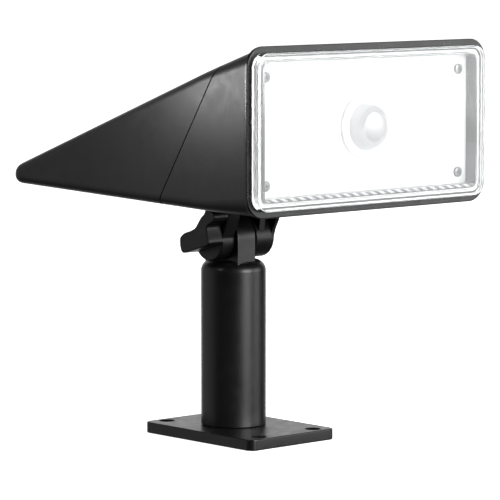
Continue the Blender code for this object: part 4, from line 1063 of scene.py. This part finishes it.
def knob():
    """The wing knob, whose outline is given from the hinge's axis, and its threaded stud."""
    offsets = [
        (0.0102, 0.0012), (0.0070, 0.0034), (0.0027, 0.0046), (-0.0010, 0.0062), (-0.0032, 0.0090),
        (-0.0056, 0.0122), (-0.0096, 0.0150), (-0.0135, 0.0156), (-0.0157, 0.0137), (-0.0154, 0.0110),
        (-0.0120, 0.0092), (-0.0096, 0.0078), (-0.0102, 0.0046), (-0.0112, 0.0012), (-0.0114, -0.0008),
        (-0.0090, -0.0019), (0.0000, -0.0045), (0.0070, -0.0066), (0.0090, -0.0062), (0.0102, -0.0030),
    ]
    outline = rounded_outline([(POLE_Y + back, HINGE_Z + up) for back, up in offsets], 0.0016, 4)
    wing = bevel(prism("wing_knob", outline, "X", *KNOB_X), 0.0010, 4, 50.0)
    middle = at(0, 0, HINGE_Z)
    cut(wing, cone("stud_bore", at(KNOB_X[0] + 0.0022, 0, HINGE_Z), middle, STUD_BORE_R, STUD_BORE_R))
    cut(wing, cone("washer_space", at(KNOB_X[1] - 0.0016, 0, HINGE_Z), middle, 0.0043, 0.0043))
    show(wing, "knob", "black_plastic", BLACK_KNOB, ["clamp_knob"], 30.0)
    low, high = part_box("knob_stud")
    reach = high.x - low.x
    thread = [(0.0, reach), (0.0024, reach), (0.0029, reach - 0.0005)]
    for turn in range(1, 23):
        height = reach - turn * THREAD_PITCH
        thread += [(0.0030, height), (0.0026, height - THREAD_PITCH / 2)]
    thread += [(0.0030, reach - 0.0165), (0.0030, 0.0006), (0.0024, 0.0), (0.0, 0.0)]
    stud = turned("threaded_stud", thread, Vector((low.x, POLE_Y, HINGE_Z)), (1, 0, 0), 40)
    show(stud, "knob", "steel", None, ["knob_stud"], 25.0)


def nut():
    low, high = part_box("hinge_nut")
    body = cone("hex_nut", at(low.x, 0, HINGE_Z), at(high.x, 0, HINGE_Z), NUT_R, NUT_R, 6)
    bore = at(low.x - 0.001, 0, HINGE_Z), at(high.x + 0.001, 0, HINGE_Z)
    cut(body, cone("nut_bore", *bore, STUD_BORE_R, STUD_BORE_R))
    bevel(body, 0.0003, 2)
    show(body, "head", "steel", None, ["hinge_nut"])


def carried_over():
    """The CAD nodes that stay as they are get a surface of their own."""
    slots = {part["node"]: part["material_slot"] for part in frame["record"]["subparts"]}
    for name, node in frame["nodes"].items():
        surface = WHITE_SILICONE if name == "lens_gasket" else SURFACES[slots[name]]
        if not node.material_slots:
            node.data.materials.append(surface)
        for place in node.material_slots:
            place.material = surface


# Stage


def floor():
    shape = bmesh.new()
    bmesh.ops.create_grid(shape, x_segments=8, y_segments=8, size=4.0)
    bmesh.ops.translate(shape, vec=(0.0, 0.0, -0.0002), verts=shape.verts)
    mesh = bpy.data.meshes.new("studio_floor")
    shape.to_mesh(mesh)
    shape.free()
    ground = bpy.data.objects.new("studio_floor", mesh)
    bpy.context.scene.collection.objects.link(ground)
    made = Nodes("studio_floor_white", Emission_Strength=1.0)
    made.shader.inputs["Emission Color"].default_value = (1.0, 1.0, 1.0, 1.0)
    made.colour(made.ramp(made.noise(3.0), (0.3, (0.92, 0.92, 0.92)), (0.7, (0.94, 0.94, 0.94))))
    made.roughness(made.spread(made.noise(8.0), 0.75, 0.85))
    mesh.materials.append(made.material)
    ground.visible_glossy = False
    ground.visible_diffuse = False


def area_light(name, place, target, size, power):
    data = bpy.data.lights.new(name, "AREA")
    data.shape = "RECTANGLE"
    data.size, data.size_y = size
    data.energy = power
    lamp = bpy.data.objects.new(name, data)
    bpy.context.scene.collection.objects.link(lamp)
    lamp.location = place
    lamp.visible_camera = False
    lamp.rotation_euler = (Vector(target) - Vector(place)).to_track_quat("-Z", "Y").to_euler()


def studio():
    """White behind the light; the room it mirrors is dark but for two bright places behind it."""
    world = bpy.data.worlds.new("studio")
    bpy.context.scene.world = world
    world.use_nodes = True
    tree = world.node_tree
    sky = tree.nodes["Background"]
    sky.inputs["Color"].default_value = (1.0, 1.0, 1.0, 1.0)
    way = tree.nodes.new("ShaderNodeTexCoord").outputs["Generated"]
    total = tree.nodes.new("ShaderNodeLightPath").outputs["Is Camera Ray"]
    for direction, start, end, strength in ROOM_LOBES:
        facing = tree.nodes.new("ShaderNodeVectorMath")
        facing.operation = "DOT_PRODUCT"
        facing.inputs[1].default_value = direction
        tree.links.new(way, facing.inputs[0])
        fade = tree.nodes.new("ShaderNodeMapRange")
        fade.interpolation_type = "SMOOTHSTEP"
        fade.inputs["From Min"].default_value = start
        fade.inputs["From Max"].default_value = end
        fade.inputs["To Min"].default_value = ROOM_DARK
        fade.inputs["To Max"].default_value = strength
        tree.links.new(facing.outputs["Value"], fade.inputs["Value"])
        either = tree.nodes.new("ShaderNodeMath")
        either.operation = "MAXIMUM"
        tree.links.new(total, either.inputs[0])
        tree.links.new(fade.outputs["Result"], either.inputs[1])
        total = either.outputs["Value"]
    tree.links.new(total, sky.inputs["Strength"])
    for lamp in LAMPS:
        area_light(*lamp)
    bpy.context.scene.view_settings.view_transform = "Standard"


def camera():
    data = bpy.data.cameras.new("camera")
    data.lens = CAMERA_LENS
    data.sensor_width = CAMERA_SENSOR
    data.clip_end = 50.0
    eye = bpy.data.objects.new("camera", data)
    bpy.context.scene.collection.objects.link(eye)
    eye.location = CAMERA_PLACE
    eye.rotation_euler = (math.radians(90 - CAMERA_DOWN), 0.0, math.radians(-CAMERA_SIDE))
    bpy.context.scene.camera = eye


camera()
carried_over()
base_plate()
pole()
knuckle_cap()
casings()
bezel()
lens()
reflector()
chamber_lining()
emitters()
sensor()
screws()
solar_panel()
mode_button()
bracket()
knob()
nut()
for helper in list(HELPERS.objects):
    bpy.data.objects.remove(helper, do_unlink=True)
bpy.data.collections.remove(HELPERS)
floor()
studio()
